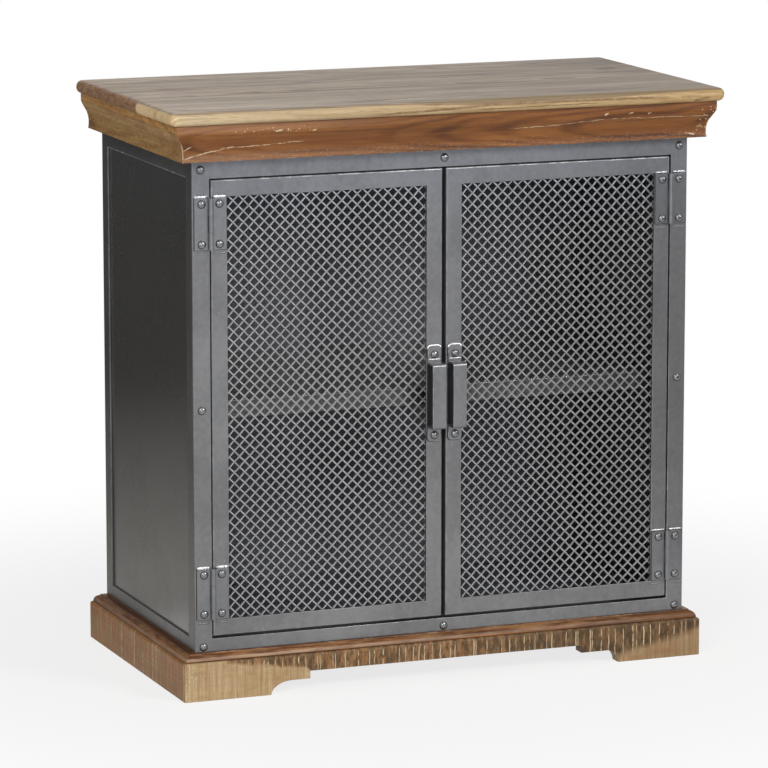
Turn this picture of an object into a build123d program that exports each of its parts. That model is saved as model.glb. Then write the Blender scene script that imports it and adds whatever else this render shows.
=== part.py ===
from build123d import *
import os
from math import sqrt

# A two-door steel cabinet with wire mesh doors, on a timber plinth and under a timber top.
# Millimetres, +Z up, the front faces -Y. The origin is on the floor, at the middle of the outline.

# Steel carcass: outside sizes, angle iron and sheet
CARCASS_WIDTH = 720.0
CARCASS_DEPTH = 382.0
CARCASS_HEIGHT = 665.5
ANGLE_FLANGE = 25.0
ANGLE_THICKNESS = 3.0
FOOT_RAIL_FLANGE = 17.8
SHEET_THICKNESS = 1.2

# Timber plinth: four mitred boards, the front one cut into bracket feet
PLINTH_HEIGHT = 53.0
PLINTH_THICKNESS = 20.0
PLINTH_SIDE_OVERHANG = 20.0
PLINTH_FACE_OVERHANG = 15.0
PLINTH_EDGE_RADIUS = 3.5
FOOT_WIDTH = 124.0
FOOT_TAIL = 56.0
LEFT_FOOT_CURVE_RUN = 31.0
RIGHT_FOOT_CURVE_RUN = 18.0
FOOT_CURVE_RISE = 18.0
ARCH_STEP = 10.5
CORNER_BLOCK_LEG = 42.0
CORNER_BLOCK_LIFT = 4.0

# Moulded base frame that lies on the plinth and carries the steel
BASE_FRAME_WIDTH = 60.0
BASE_FRAME_THICKNESS = 11.0
BASE_FRAME_SETBACK = 3.5
OVOLO_RUN = 8.0
OVOLO_BULGE = 2.4
OVOLO_FILLET = 1.5

# Cornice: an ogee moulding on three sides and a plain rail at the back
CORNICE_HEIGHT = 50.5
CORNICE_FOOT_OVERHANG = 20.0
CORNICE_LIP_OVERHANG = 30.0
CORNICE_LIP_HEIGHT = 9.5
CORNICE_BEARING = 18.0
CORNICE_DIP = 1.0
CORNICE_WAIST_HEIGHT = 24.0
CORNICE_WAIST_OUT = 2.0
CORNICE_SHOULDER_OUT = 8.0
CORNICE_SHOULDER_HEIGHT = 34.5
CORNICE_BACK_THICKNESS = 30.0

# Top: four boards glued edge to edge, with a rounded nose all round
TOP_THICKNESS = 18.0
TOP_OVERHANG = 40.0
TOP_BACK_SETBACK = 2.0
TOP_NOSE_RADIUS = 8.5
TOP_CORNER_RADIUS = 12.0
TOP_FRONT_BOARD = 150.0
TOP_SECOND_BOARD = 76.0

# Shelf: a sheet with lips turned down, on two angle bearers
SHELF_SHEET = 1.5
SHELF_HEIGHT = 336.5
SHELF_LIP = 24.0
SHELF_SETBACK = 25.0
SHELF_SIDE_CLEARANCE = 0.5
BEARER_FLANGE = 20.0
BEARER_END_CLEARANCE = 12.0

# Doors: mitred angle frames set into the front opening
DOOR_SIDE_GAP = 1.5
DOOR_TOP_GAP = 1.5
DOOR_BOTTOM_GAP = 3.0
DOOR_MEETING_GAP = 5.0
DOOR_MEMBER_WIDTH = 23.0
DOOR_DEPTH = 20.0
DOOR_METAL = 3.0

# Wire mesh, two layers of diagonal wires welded behind each door frame
MESH_PITCH = 10.4
MESH_WIRE = 2.8
MESH_LAP = 12.0

# Butt hinges, riveted on the front faces
HINGE_LENGTH = 69.0
HINGE_END_INSET = 24.0
HINGE_LEAF_WIDTH = 22.5
HINGE_LEAF_THICKNESS = 2.0
HINGE_BARREL_RADIUS = 3.5
HINGE_BARREL_LIFT = 0.3
HINGE_PIN_RADIUS = 1.8
HINGE_PIN_CLEARANCE = 0.05
HINGE_KNUCKLE_GAP = 0.3
HINGE_RIVET_PITCH = 54.0
HINGE_RIVET_OFFSET = 12.5

# Dome-headed rivets
RIVET_HEAD_RADIUS = 5.0
RIVET_HEAD_HEIGHT = 2.3
RIVET_CROWN_RADIUS = 3.9
RIVET_CROWN_HEIGHT = 1.4
RIVET_CREST_RADIUS = 1.8
RIVET_SIDES = 12
FOOT_RIVET_HEIGHT = 7.0

# Handles: one folded strip on each meeting stile
HANDLE_WIDTH = 19.5
HANDLE_INSET = 12.5
HANDLE_STRIP = 3.0
HANDLE_GRIP_LENGTH = 90.0
HANDLE_TAB_LENGTH = 23.0
HANDLE_FOOT_TAB_LENGTH = 19.0
HANDLE_REACH = 22.0
HANDLE_BEND_RADIUS = 4.0
HANDLE_TAB_CORNER = 5.0
HANDLE_RIVET_INSET = 12.5
HANDLE_FOOT_RIVET_INSET = 8.5

# Magnetic catch behind the top of the meeting stiles
CATCH_WIDTH = 62.0
CATCH_PLATE = 2.0
CATCH_ARM = 22.0
CATCH_MAGNET_WIDTH = 20.0
CATCH_MAGNET_HEIGHT = 12.0
CATCH_MAGNET_THICKNESS = 5.0
CATCH_MAGNET_SPACING = 30.0
CATCH_DOOR_GAP = 0.3
CATCH_DROP = 8.0

# Heights and planes that follow from the sizes above
CARCASS_BOTTOM = PLINTH_HEIGHT + BASE_FRAME_THICKNESS
CARCASS_TOP = CARCASS_BOTTOM + CARCASS_HEIGHT
TOP_UNDERSIDE = CARCASS_TOP + CORNICE_HEIGHT
HALF_WIDTH = CARCASS_WIDTH / 2
MIDDLE_Y = (TOP_OVERHANG - PLINTH_FACE_OVERHANG) / 2
FRONT_Y = MIDDLE_Y - CARCASS_DEPTH / 2
BACK_Y = MIDDLE_Y + CARCASS_DEPTH / 2
INNER_HALF_WIDTH = HALF_WIDTH - ANGLE_THICKNESS
FLOOR_TOP = CARCASS_BOTTOM + ANGLE_THICKNESS + SHEET_THICKNESS
CEILING = CARCASS_TOP - ANGLE_THICKNESS - SHEET_THICKNESS
SHELF_TOP = CARCASS_BOTTOM + SHELF_HEIGHT
OPENING_HALF_WIDTH = HALF_WIDTH - ANGLE_FLANGE
OPENING_BOTTOM = CARCASS_BOTTOM + FOOT_RAIL_FLANGE
OPENING_TOP = CARCASS_TOP - ANGLE_FLANGE
DOOR_WIDTH = OPENING_HALF_WIDTH - DOOR_SIDE_GAP - DOOR_MEETING_GAP / 2
DOOR_BOTTOM = OPENING_BOTTOM + DOOR_BOTTOM_GAP
DOOR_TOP = OPENING_TOP - DOOR_TOP_GAP
DOOR_HEIGHT = DOOR_TOP - DOOR_BOTTOM
DOOR_MIDDLE_X = (DOOR_MEETING_GAP + DOOR_WIDTH) / 2
DOOR_MIDDLE_Z = (DOOR_BOTTOM + DOOR_TOP) / 2
HINGE_X = OPENING_HALF_WIDTH - DOOR_SIDE_GAP / 2
HINGE_Y = FRONT_Y - HINGE_BARREL_RADIUS - HINGE_BARREL_LIFT
HINGE_HEIGHTS = (
    DOOR_BOTTOM + HINGE_END_INSET + HINGE_LENGTH / 2,
    DOOR_TOP - HINGE_END_INSET - HINGE_LENGTH / 2,
)
HINGE_RIVET_HEIGHTS = [z + side * HINGE_RIVET_PITCH / 2 for z in HINGE_HEIGHTS for side in (-1, 1)]
HINGE_FRAME_RIVET_X = HINGE_X + HINGE_RIVET_OFFSET
HINGE_DOOR_RIVET_X = HINGE_X - HINGE_RIVET_OFFSET
HANDLE_X = DOOR_MEETING_GAP / 2 + HANDLE_INSET
HANDLE_RISE = HANDLE_GRIP_LENGTH / 2 + HANDLE_TAB_LENGTH
HANDLE_DROP = HANDLE_GRIP_LENGTH / 2 + HANDLE_FOOT_TAB_LENGTH
HANDLE_RIVET_HEIGHTS = (
    DOOR_MIDDLE_Z - HANDLE_DROP + HANDLE_FOOT_RIVET_INSET,
    DOOR_MIDDLE_Z + HANDLE_RISE - HANDLE_RIVET_INSET,
)
POST_RIVET_X = HALF_WIDTH - ANGLE_FLANGE / 2
POST_RIVET_HEIGHTS = (CARCASS_BOTTOM + FOOT_RIVET_HEIGHT, DOOR_MIDDLE_Z, CARCASS_TOP - ANGLE_FLANGE / 2)
SIDES = {"left": -1, "right": 1}


def save(name, *solids):
    """Write one node with all its solids in place."""
    shape = solids[0] if len(solids) == 1 else Compound(children=list(solids))
    export_step(shape, os.path.join("parts", name + ".step"))


def block(low, high):
    """A rectangular piece between two opposite corners."""
    size = [b - a for a, b in zip(low, high)]
    middle = [(a + b) / 2 for a, b in zip(low, high)]
    return Pos(*middle) * Box(*size)


def to_side(shape, side):
    """A piece that was made for the right side, for either side."""
    return shape if side > 0 else mirror(shape, Plane.YZ)


def mitred_bar(section, length, start_mitre=True, end_mitre=True):
    """A bar along X with its outer edge on Y = 0, cut at 45 degrees towards +Y at either end."""
    bar = extrude(section, length / 2, both=True)
    box = bar.bounding_box()
    start = box.max.Y if start_mitre else 0
    end = box.max.Y if end_mitre else 0
    outline = Polygon(
        (-length / 2, 0),
        (length / 2, 0),
        (length / 2 - end, box.max.Y),
        (-length / 2 + start, box.max.Y),
        align=None,
    )
    reach = max(abs(box.min.Z), abs(box.max.Z))
    return bar & extrude(outline, reach, both=True)


def mitred_frame(section, width, height):
    """Four mitred bars round a rectangle in the XY plane: first, right, far and left side."""
    bars = []
    for turn in range(4):
        across = turn % 2 == 0
        bar = mitred_bar(section, width if across else height)
        inset = (height if across else width) / 2
        bars.append(Rot(0, 0, 90 * turn) * Pos(0, -inset, 0) * bar)
    return bars


def rivets(points, seat):
    """Domed rivet heads that sit on the plane y = seat, one for each (x, z)."""
    crown = Pos(0, 0, RIVET_CROWN_HEIGHT) * RegularPolygon(RIVET_CROWN_RADIUS, RIVET_SIDES)
    crest = Pos(0, 0, RIVET_HEAD_HEIGHT) * RegularPolygon(RIVET_CREST_RADIUS, RIVET_SIDES)
    head = loft([RegularPolygon(RIVET_HEAD_RADIUS, RIVET_SIDES), crown, crest], ruled=True)
    return [Pos(x, seat, z) * Rot(90, 0, 0) * head for x, z in points]


def make_plinth():
    """Plinth boards, the moulded base frame on them and the glue blocks in the corners."""
    width = CARCASS_WIDTH + 2 * PLINTH_SIDE_OVERHANG
    depth = CARCASS_DEPTH + 2 * PLINTH_FACE_OVERHANG
    place = Pos(0, MIDDLE_Y, 0)
    board = Plane.YZ * make_face(
        Polyline(
            (PLINTH_EDGE_RADIUS, PLINTH_HEIGHT),
            (PLINTH_THICKNESS, PLINTH_HEIGHT),
            (PLINTH_THICKNESS, 0),
            (0, 0),
            (0, PLINTH_HEIGHT - PLINTH_EDGE_RADIUS),
        )
        + RadiusArc(
            (0, PLINTH_HEIGHT - PLINTH_EDGE_RADIUS),
            (PLINTH_EDGE_RADIUS, PLINTH_HEIGHT),
            PLINTH_EDGE_RADIUS,
        )
    )
    front, right, back, left = [place * bar for bar in mitred_frame(board, width, depth)]
    save("plinth_front", front - front_arch(width))
    save("plinth_right", right)
    save("plinth_back", back)
    save("plinth_left", left)

    ovolo_foot = (BASE_FRAME_SETBACK, 0)
    ovolo_head = (BASE_FRAME_SETBACK + OVOLO_RUN, BASE_FRAME_THICKNESS - OVOLO_FILLET)
    strip = Plane.YZ * make_face(
        SagittaArc(ovolo_foot, ovolo_head, OVOLO_BULGE)
        + Polyline(
            ovolo_head,
            (ovolo_head[0], BASE_FRAME_THICKNESS),
            (BASE_FRAME_WIDTH, BASE_FRAME_THICKNESS),
            (BASE_FRAME_WIDTH, 0),
            ovolo_foot,
        )
    )
    lift = Pos(0, MIDDLE_Y, PLINTH_HEIGHT)
    for name, bar in zip(("front", "right", "back", "left"), mitred_frame(strip, width, depth)):
        save("base_moulding_" + name, lift * bar)

    inner_x = width / 2 - PLINTH_THICKNESS
    inner_y = depth / 2 - PLINTH_THICKNESS
    blocks = []
    for sx, sy in ((-1, -1), (1, -1), (1, 1), (-1, 1)):
        corner = Polygon(
            (sx * inner_x, sy * inner_y),
            (sx * (inner_x - CORNER_BLOCK_LEG), sy * inner_y),
            (sx * inner_x, sy * (inner_y - CORNER_BLOCK_LEG)),
            align=None,
        )
        raised = Pos(0, MIDDLE_Y, CORNER_BLOCK_LIFT) * corner
        blocks.append(extrude(raised, PLINTH_HEIGHT - CORNER_BLOCK_LIFT, dir=(0, 0, 1)))
    save("plinth_corner_blocks", *blocks)


def front_arch(width):
    """The shaped space between the two bracket feet of the front plinth board."""
    foot = width / 2 - FOOT_WIDTH
    step = foot - FOOT_TAIL
    arch = FOOT_CURVE_RISE + ARCH_STEP
    left_ledge = LEFT_FOOT_CURVE_RUN - foot
    right_ledge = foot - RIGHT_FOOT_CURVE_RUN
    right_curve = EllipticalCenterArc(
        (right_ledge, 0), RIGHT_FOOT_CURVE_RUN, FOOT_CURVE_RISE, start_angle=0, arc_size=90
    )
    top = Polyline(
        (right_ledge, FOOT_CURVE_RISE),
        (step, FOOT_CURVE_RISE),
        (step, arch),
        (-step, arch),
        (-step, FOOT_CURVE_RISE),
        (left_ledge, FOOT_CURVE_RISE),
    )
    left_curve = EllipticalCenterArc(
        (left_ledge, 0), LEFT_FOOT_CURVE_RUN, FOOT_CURVE_RISE, start_angle=90, arc_size=90
    )
    floor_line = Line((-foot, 0), (foot, 0))
    outline = make_face(right_curve + top + left_curve + floor_line)
    face_y = FRONT_Y - PLINTH_FACE_OVERHANG
    return Pos(0, face_y, 0) * extrude(Plane.XZ * outline, 2 * PLINTH_THICKNESS, both=True)


def make_cornice():
    """Ogee moulding with mitred front corners, and the rail that closes it at the back."""
    setback = CORNICE_LIP_OVERHANG - CORNICE_FOOT_OVERHANG
    inner = CORNICE_LIP_OVERHANG + CORNICE_BEARING
    waist = (setback - CORNICE_WAIST_OUT, CORNICE_WAIST_HEIGHT)
    shoulder = (setback - CORNICE_SHOULDER_OUT, CORNICE_SHOULDER_HEIGHT)
    lip = (0, CORNICE_HEIGHT - CORNICE_LIP_HEIGHT)
    outline = (
        ThreePointArc((setback, 0), (setback + CORNICE_DIP, CORNICE_WAIST_HEIGHT / 2), waist)
        + Line(waist, shoulder)
        + TangentArc(shoulder, lip, tangent=(shoulder[0] - waist[0], shoulder[1] - waist[1]))
        + Polyline(lip, (0, CORNICE_HEIGHT), (inner, CORNICE_HEIGHT), (inner, 0), (setback, 0))
    )
    section = Plane.YZ * make_face(outline)
    width = CARCASS_WIDTH + 2 * CORNICE_LIP_OVERHANG
    depth = CARCASS_DEPTH + CORNICE_LIP_OVERHANG
    side_y = BACK_Y - depth / 2
    front = mitred_bar(section, width)
    right = Rot(0, 0, 90) * Pos(0, -width / 2, 0) * mitred_bar(section, depth, end_mitre=False)
    left = Rot(0, 0, -90) * Pos(0, -width / 2, 0) * mitred_bar(section, depth, start_mitre=False)
    save("cornice_front", Pos(0, FRONT_Y - CORNICE_LIP_OVERHANG, CARCASS_TOP) * front)
    save("cornice_right", Pos(0, side_y, CARCASS_TOP) * right)
    save("cornice_left", Pos(0, side_y, CARCASS_TOP) * left)
    rail_half = HALF_WIDTH - CORNICE_BEARING
    save(
        "cornice_back_rail",
        block(
            (-rail_half, BACK_Y - CORNICE_BACK_THICKNESS, CARCASS_TOP),
            (rail_half, BACK_Y, TOP_UNDERSIDE),
        ),
    )


def make_top():
    """The slab with its rounded nose, sawn into its boards."""
    width = CARCASS_WIDTH + 2 * TOP_OVERHANG
    front = FRONT_Y - TOP_OVERHANG
    back = BACK_Y - TOP_BACK_SETBACK
    slab = block(
        (-width / 2, front, TOP_UNDERSIDE), (width / 2, back, TOP_UNDERSIDE + TOP_THICKNESS)
    )
    slab = fillet(slab.edges().filter_by(Axis.Z), TOP_CORNER_RADIUS)
    rims = slab.faces().filter_by(Axis.Z).edges()
    slab = fillet(rims, TOP_NOSE_RADIUS)
    second = front + TOP_FRONT_BOARD
    third = second + TOP_SECOND_BOARD
    rear = (third + back) / 2
    edges = {
        "front": (front, second),
        "second": (second, third),
        "third": (third, rear),
        "rear": (rear, back),
    }
    for name, (near, far) in edges.items():
        strip = block((-width / 2, near, TOP_UNDERSIDE), (width / 2, far, TOP_UNDERSIDE + TOP_THICKNESS))
        save("top_board_" + name, slab & strip)


def angle_rail(length, upright):
    """Angle iron along X: an upright flange on y = 0 and a ledge at its foot towards +Y."""
    section = Polyline(
        (0, 0),
        (ANGLE_FLANGE, 0),
        (ANGLE_FLANGE, ANGLE_THICKNESS),
        (ANGLE_THICKNESS, ANGLE_THICKNESS),
        (ANGLE_THICKNESS, upright),
        (0, upright),
        close=True,
    )
    return extrude(Plane.YZ * make_face(section), length / 2, both=True)


def make_carcass_frame():
    """Four angle posts, and the top and bottom rails between them."""
    post_section = Polyline(
        (HALF_WIDTH, FRONT_Y),
        (OPENING_HALF_WIDTH, FRONT_Y),
        (OPENING_HALF_WIDTH, FRONT_Y + ANGLE_THICKNESS),
        (INNER_HALF_WIDTH, FRONT_Y + ANGLE_THICKNESS),
        (INNER_HALF_WIDTH, FRONT_Y + ANGLE_FLANGE),
        (HALF_WIDTH, FRONT_Y + ANGLE_FLANGE),
        close=True,
    )
    post_foot = Pos(0, 0, CARCASS_BOTTOM) * make_face(post_section)
    front_post = extrude(post_foot, CARCASS_HEIGHT, dir=(0, 0, 1))
    rear_post = mirror(front_post, Plane.XZ.offset(-MIDDLE_Y))
    for name, side in SIDES.items():
        save(f"corner_post_front_{name}", to_side(front_post, side))
        save(f"corner_post_rear_{name}", to_side(rear_post, side))

    across = 2 * OPENING_HALF_WIDTH
    along = CARCASS_DEPTH - 2 * ANGLE_FLANGE
    at_front = Pos(0, FRONT_Y, 0)
    at_back = Pos(0, BACK_Y, 0) * Rot(0, 0, 180)
    at_left = Pos(-HALF_WIDTH, MIDDLE_Y, 0) * Rot(0, 0, -90)
    at_right = Pos(HALF_WIDTH, MIDDLE_Y, 0) * Rot(0, 0, 90)
    places = {
        "front": (at_front, across),
        "rear": (at_back, across),
        "left": (at_left, along),
        "right": (at_right, along),
    }
    for name, (place, length) in places.items():
        foot = place * Pos(0, 0, CARCASS_BOTTOM) * angle_rail(length, FOOT_RAIL_FLANGE)
        head = place * Pos(0, 0, CARCASS_TOP) * mirror(angle_rail(length, ANGLE_FLANGE), Plane.XY)
        save(f"{name}_bottom_rail", foot)
        save(f"{name}_top_rail", head)


def make_panels():
    """Sheet panels inside the angle frame: floor, ceiling, sides and back."""
    front = FRONT_Y + ANGLE_THICKNESS
    back = BACK_Y - ANGLE_THICKNESS
    half = INNER_HALF_WIDTH
    save("floor_panel", block((-half, front, FLOOR_TOP - SHEET_THICKNESS), (half, back, FLOOR_TOP)))
    save("top_panel", block((-half, front, CEILING), (half, back, CEILING + SHEET_THICKNESS)))
    side_panel = block((half - SHEET_THICKNESS, front, FLOOR_TOP), (half, back, CEILING))
    for name, side in SIDES.items():
        save(f"{name}_side_panel", to_side(side_panel, side))
    back_half = half - SHEET_THICKNESS
    save(
        "back_panel",
        block((-back_half, back - SHEET_THICKNESS, FLOOR_TOP), (back_half, back, CEILING)),
    )


def make_shelf():
    """Folded shelf with lips turned down at its front and back, on an angle bearer at each side."""
    front = FRONT_Y + SHELF_SETBACK
    back = BACK_Y - ANGLE_THICKNESS - SHEET_THICKNESS - SHELF_SIDE_CLEARANCE
    wall = INNER_HALF_WIDTH - SHEET_THICKNESS
    half = wall - SHELF_SIDE_CLEARANCE
    underside = SHELF_TOP - SHELF_SHEET
    fold = Polyline(
        (front, SHELF_TOP - SHELF_LIP),
        (front, SHELF_TOP),
        (back, SHELF_TOP),
        (back, SHELF_TOP - SHELF_LIP),
        (back - SHELF_SHEET, SHELF_TOP - SHELF_LIP),
        (back - SHELF_SHEET, underside),
        (front + SHELF_SHEET, underside),
        (front + SHELF_SHEET, SHELF_TOP - SHELF_LIP),
        close=True,
    )
    save("shelf", extrude(Plane.YZ * make_face(fold), half, both=True))
    bearer_section = Polyline(
        (wall, underside),
        (wall, underside - BEARER_FLANGE),
        (wall - ANGLE_THICKNESS, underside - BEARER_FLANGE),
        (wall - ANGLE_THICKNESS, underside - ANGLE_THICKNESS),
        (wall - BEARER_FLANGE, underside - ANGLE_THICKNESS),
        (wall - BEARER_FLANGE, underside),
        close=True,
    )
    bearer_half = (back - front) / 2 - BEARER_END_CLEARANCE
    bearer = extrude(Plane.XZ * make_face(bearer_section), bearer_half, both=True)
    bearer = Pos(0, (front + back) / 2, 0) * bearer
    save("shelf_bearers", *[to_side(bearer, side) for side in SIDES.values()])


def make_door(name, side):
    """One door: a mitred angle frame and the wire mesh behind it."""
    section = Plane.YZ * make_face(
        Polyline(
            (0, 0),
            (DOOR_MEMBER_WIDTH, 0),
            (DOOR_MEMBER_WIDTH, -DOOR_METAL),
            (DOOR_METAL, -DOOR_METAL),
            (DOOR_METAL, -DOOR_DEPTH),
            (0, -DOOR_DEPTH),
            close=True,
        )
    )
    door_plane = Plane(
        origin=(side * DOOR_MIDDLE_X, FRONT_Y, DOOR_MIDDLE_Z), x_dir=(1, 0, 0), z_dir=(0, -1, 0)
    )
    bars = [door_plane.location * bar for bar in mitred_frame(section, DOOR_WIDTH, DOOR_HEIGHT)]
    bottom, right, top, left = bars
    outer, meeting = (right, left) if side > 0 else (left, right)
    save(f"{name}_door_bottom_rail", bottom)
    save(f"{name}_door_top_rail", top)
    save(f"{name}_door_hinge_stile", outer)
    save(f"{name}_door_meeting_stile", meeting)
    save(f"{name}_door_mesh", *mesh_wires(door_plane))


def mesh_wires(door_plane):
    """Diagonal wires in two layers behind the frame's front flange, each clipped to the mesh sheet."""
    half_width = DOOR_WIDTH / 2 - DOOR_MEMBER_WIDTH + MESH_LAP
    half_height = DOOR_HEIGHT / 2 - DOOR_MEMBER_WIDTH + MESH_LAP
    count = int((half_width + half_height) / sqrt(2) / MESH_PITCH)
    wires = []
    for layer, slant in enumerate((45, -45)):
        depth = -DOOR_METAL - (layer + 0.5) * MESH_WIRE
        for number in range(-count, count + 1):
            across = number * MESH_PITCH
            low = max(across - half_width * sqrt(2), -across - half_height * sqrt(2))
            high = min(across + half_width * sqrt(2), -across + half_height * sqrt(2))
            if high - low < 2 * MESH_WIRE:
                continue
            wire = Pos((low + high) / 2, across, depth) * Box(high - low, MESH_WIRE, MESH_WIRE)
            if slant < 0:
                wire = mirror(wire, Plane.XZ)
            wires.append(door_plane.location * Rot(0, 0, slant) * wire)
    return wires


def hinge_leaf(towards, knuckles):
    """A leaf on the hinge axis at the origin, with its barrel knuckles given as (low, high) heights."""
    face = HINGE_BARREL_RADIUS + HINGE_BARREL_LIFT
    near = HINGE_BARREL_RADIUS + HINGE_KNUCKLE_GAP
    half = HINGE_LENGTH / 2
    leaf = block((near, face - HINGE_LEAF_THICKNESS, -half), (HINGE_LEAF_WIDTH, face, half))
    for low, high in knuckles:
        barrel = Pos(0, 0, (low + high) / 2) * Cylinder(HINGE_BARREL_RADIUS, high - low)
        leaf += barrel + block((0, face - HINGE_LEAF_THICKNESS, low), (near, face, high))
    leaf -= Cylinder(HINGE_PIN_RADIUS + HINGE_PIN_CLEARANCE, HINGE_LENGTH)
    return to_side(leaf, towards)


def make_hinges(name, side):
    """Upper and lower butt hinge of one door: leaf on the post, leaf on the door, and the pin."""
    half = HINGE_LENGTH / 2
    third = HINGE_LENGTH / 3
    play = HINGE_KNUCKLE_GAP / 2
    ends = ((-half, -third / 2 - play), (third / 2 + play, half))
    middle = ((-third / 2 + play, third / 2 - play),)
    places = [Pos(side * HINGE_X, HINGE_Y, z) for z in HINGE_HEIGHTS]
    frame_leaf = hinge_leaf(side, ends)
    door_leaf = hinge_leaf(-side, middle)
    pin = Cylinder(HINGE_PIN_RADIUS, HINGE_LENGTH)
    save(f"{name}_hinge_frame_leaves", *[place * frame_leaf for place in places])
    save(f"{name}_hinge_door_leaves", *[place * door_leaf for place in places])
    save(f"{name}_hinge_pins", *[place * pin for place in places])


def make_handle(name, side):
    """A strip folded out of the door and back, riveted through a longer upper and a shorter lower tab."""
    grip = HANDLE_GRIP_LENGTH / 2
    outer = [
        (0, -HANDLE_DROP),
        (-HANDLE_STRIP, -HANDLE_DROP),
        (-HANDLE_STRIP, -grip),
        (-HANDLE_REACH, -grip),
        (-HANDLE_REACH, grip),
        (-HANDLE_STRIP, grip),
        (-HANDLE_STRIP, HANDLE_RISE),
        (0, HANDLE_RISE),
    ]
    inner = [
        (0, grip - HANDLE_STRIP),
        (HANDLE_STRIP - HANDLE_REACH, grip - HANDLE_STRIP),
        (HANDLE_STRIP - HANDLE_REACH, HANDLE_STRIP - grip),
        (0, HANDLE_STRIP - grip),
    ]
    strip = extrude(
        Plane.YZ * make_face(Polyline(*outer, *inner, close=True)), HANDLE_WIDTH / 2, both=True
    )
    grip_bends = strip.edges().filter_by(Axis.X).group_by(Axis.Y)[0]
    strip = fillet(grip_bends, HANDLE_BEND_RADIUS)
    by_height = strip.edges().filter_by(Axis.Y).group_by(Axis.Z)
    tab_ends = by_height[0] + by_height[-1]
    strip = fillet(tab_ends, HANDLE_TAB_CORNER)
    save(f"{name}_handle", Pos(side * HANDLE_X, FRONT_Y, DOOR_MIDDLE_Z) * strip)


def make_rivets():
    """Rivets of the front frame, and of each door's hinge leaves and handle."""
    on_frame = [(0, POST_RIVET_HEIGHTS[0]), (0, POST_RIVET_HEIGHTS[-1])]
    on_hinges = []
    for side in SIDES.values():
        on_frame += [(side * POST_RIVET_X, z) for z in POST_RIVET_HEIGHTS]
        on_hinges += [(side * HINGE_FRAME_RIVET_X, z) for z in HINGE_RIVET_HEIGHTS]
    leaf_seat = FRONT_Y - HINGE_LEAF_THICKNESS
    save("frame_rivets", *rivets(on_frame, FRONT_Y), *rivets(on_hinges, leaf_seat))
    for name, side in SIDES.items():
        on_leaves = [(side * HINGE_DOOR_RIVET_X, z) for z in HINGE_RIVET_HEIGHTS]
        on_handle = [(side * HANDLE_X, z) for z in HANDLE_RIVET_HEIGHTS]
        handle_seat = FRONT_Y - HANDLE_STRIP
        save(f"{name}_door_rivets", *rivets(on_leaves, leaf_seat), *rivets(on_handle, handle_seat))


def make_catch():
    """Bracket under the ceiling sheet, with one magnet behind the top corner of each door."""
    magnet_front = FRONT_Y + DOOR_DEPTH + CATCH_DOOR_GAP
    plate_front = magnet_front + CATCH_MAGNET_THICKNESS
    magnet_bottom = DOOR_TOP - CATCH_MAGNET_HEIGHT
    fold = Polyline(
        (plate_front, magnet_bottom - CATCH_DROP),
        (plate_front, CEILING),
        (plate_front + CATCH_ARM, CEILING),
        (plate_front + CATCH_ARM, CEILING - CATCH_PLATE),
        (plate_front + CATCH_PLATE, CEILING - CATCH_PLATE),
        (plate_front + CATCH_PLATE, magnet_bottom - CATCH_DROP),
        close=True,
    )
    save("catch_bracket", extrude(Plane.YZ * make_face(fold), CATCH_WIDTH / 2, both=True))
    magnets = []
    for side in SIDES.values():
        middle = side * CATCH_MAGNET_SPACING / 2
        magnets.append(
            block(
                (middle - CATCH_MAGNET_WIDTH / 2, magnet_front, magnet_bottom),
                (middle + CATCH_MAGNET_WIDTH / 2, plate_front, DOOR_TOP),
            )
        )
    save("catch_magnets", *magnets)


def main():
    """Build every piece of the cabinet."""
    os.makedirs("parts", exist_ok=True)
    make_plinth()
    make_cornice()
    make_top()
    make_carcass_frame()
    make_panels()
    make_shelf()
    for name, side in SIDES.items():
        make_door(name, side)
        make_hinges(name, side)
        make_handle(name, side)
    make_rivets()
    make_catch()


main()
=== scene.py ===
"""A steel and timber cabinet with woven wire doors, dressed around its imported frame."""
import math
from functools import reduce

import bmesh
import bpy
import numpy as np
from bpy.props import FloatProperty, FloatVectorProperty, IntProperty, PointerProperty
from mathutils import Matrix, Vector, noise


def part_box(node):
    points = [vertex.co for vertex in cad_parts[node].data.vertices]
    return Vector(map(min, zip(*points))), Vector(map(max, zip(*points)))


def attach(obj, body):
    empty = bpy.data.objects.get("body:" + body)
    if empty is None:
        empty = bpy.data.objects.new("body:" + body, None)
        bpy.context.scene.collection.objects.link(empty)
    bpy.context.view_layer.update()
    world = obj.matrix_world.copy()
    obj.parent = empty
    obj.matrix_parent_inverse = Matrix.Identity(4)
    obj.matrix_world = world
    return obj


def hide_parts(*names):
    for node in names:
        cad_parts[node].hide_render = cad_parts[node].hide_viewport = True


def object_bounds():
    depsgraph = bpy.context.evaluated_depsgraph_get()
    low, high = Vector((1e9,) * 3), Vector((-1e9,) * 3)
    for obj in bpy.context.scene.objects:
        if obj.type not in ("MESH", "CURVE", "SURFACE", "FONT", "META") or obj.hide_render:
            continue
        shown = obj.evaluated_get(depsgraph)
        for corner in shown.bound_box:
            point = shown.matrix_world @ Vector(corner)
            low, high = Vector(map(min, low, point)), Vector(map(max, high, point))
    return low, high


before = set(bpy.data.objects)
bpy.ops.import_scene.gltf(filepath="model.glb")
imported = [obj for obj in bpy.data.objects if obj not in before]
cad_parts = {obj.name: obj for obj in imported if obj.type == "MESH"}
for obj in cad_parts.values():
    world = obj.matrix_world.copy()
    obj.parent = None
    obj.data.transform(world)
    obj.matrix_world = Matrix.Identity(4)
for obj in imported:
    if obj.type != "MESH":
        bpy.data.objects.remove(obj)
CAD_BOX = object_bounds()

bl_info = {
    "name": "Wire door cabinet",
    "version": (1, 0, 0),
    "blender": (4, 5, 0),
    "location": "3D View > Sidebar > Cabinet",
    "description": "Builds the looks of a steel and timber cabinet with woven wire doors",
    "category": "Add Mesh",
}

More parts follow.
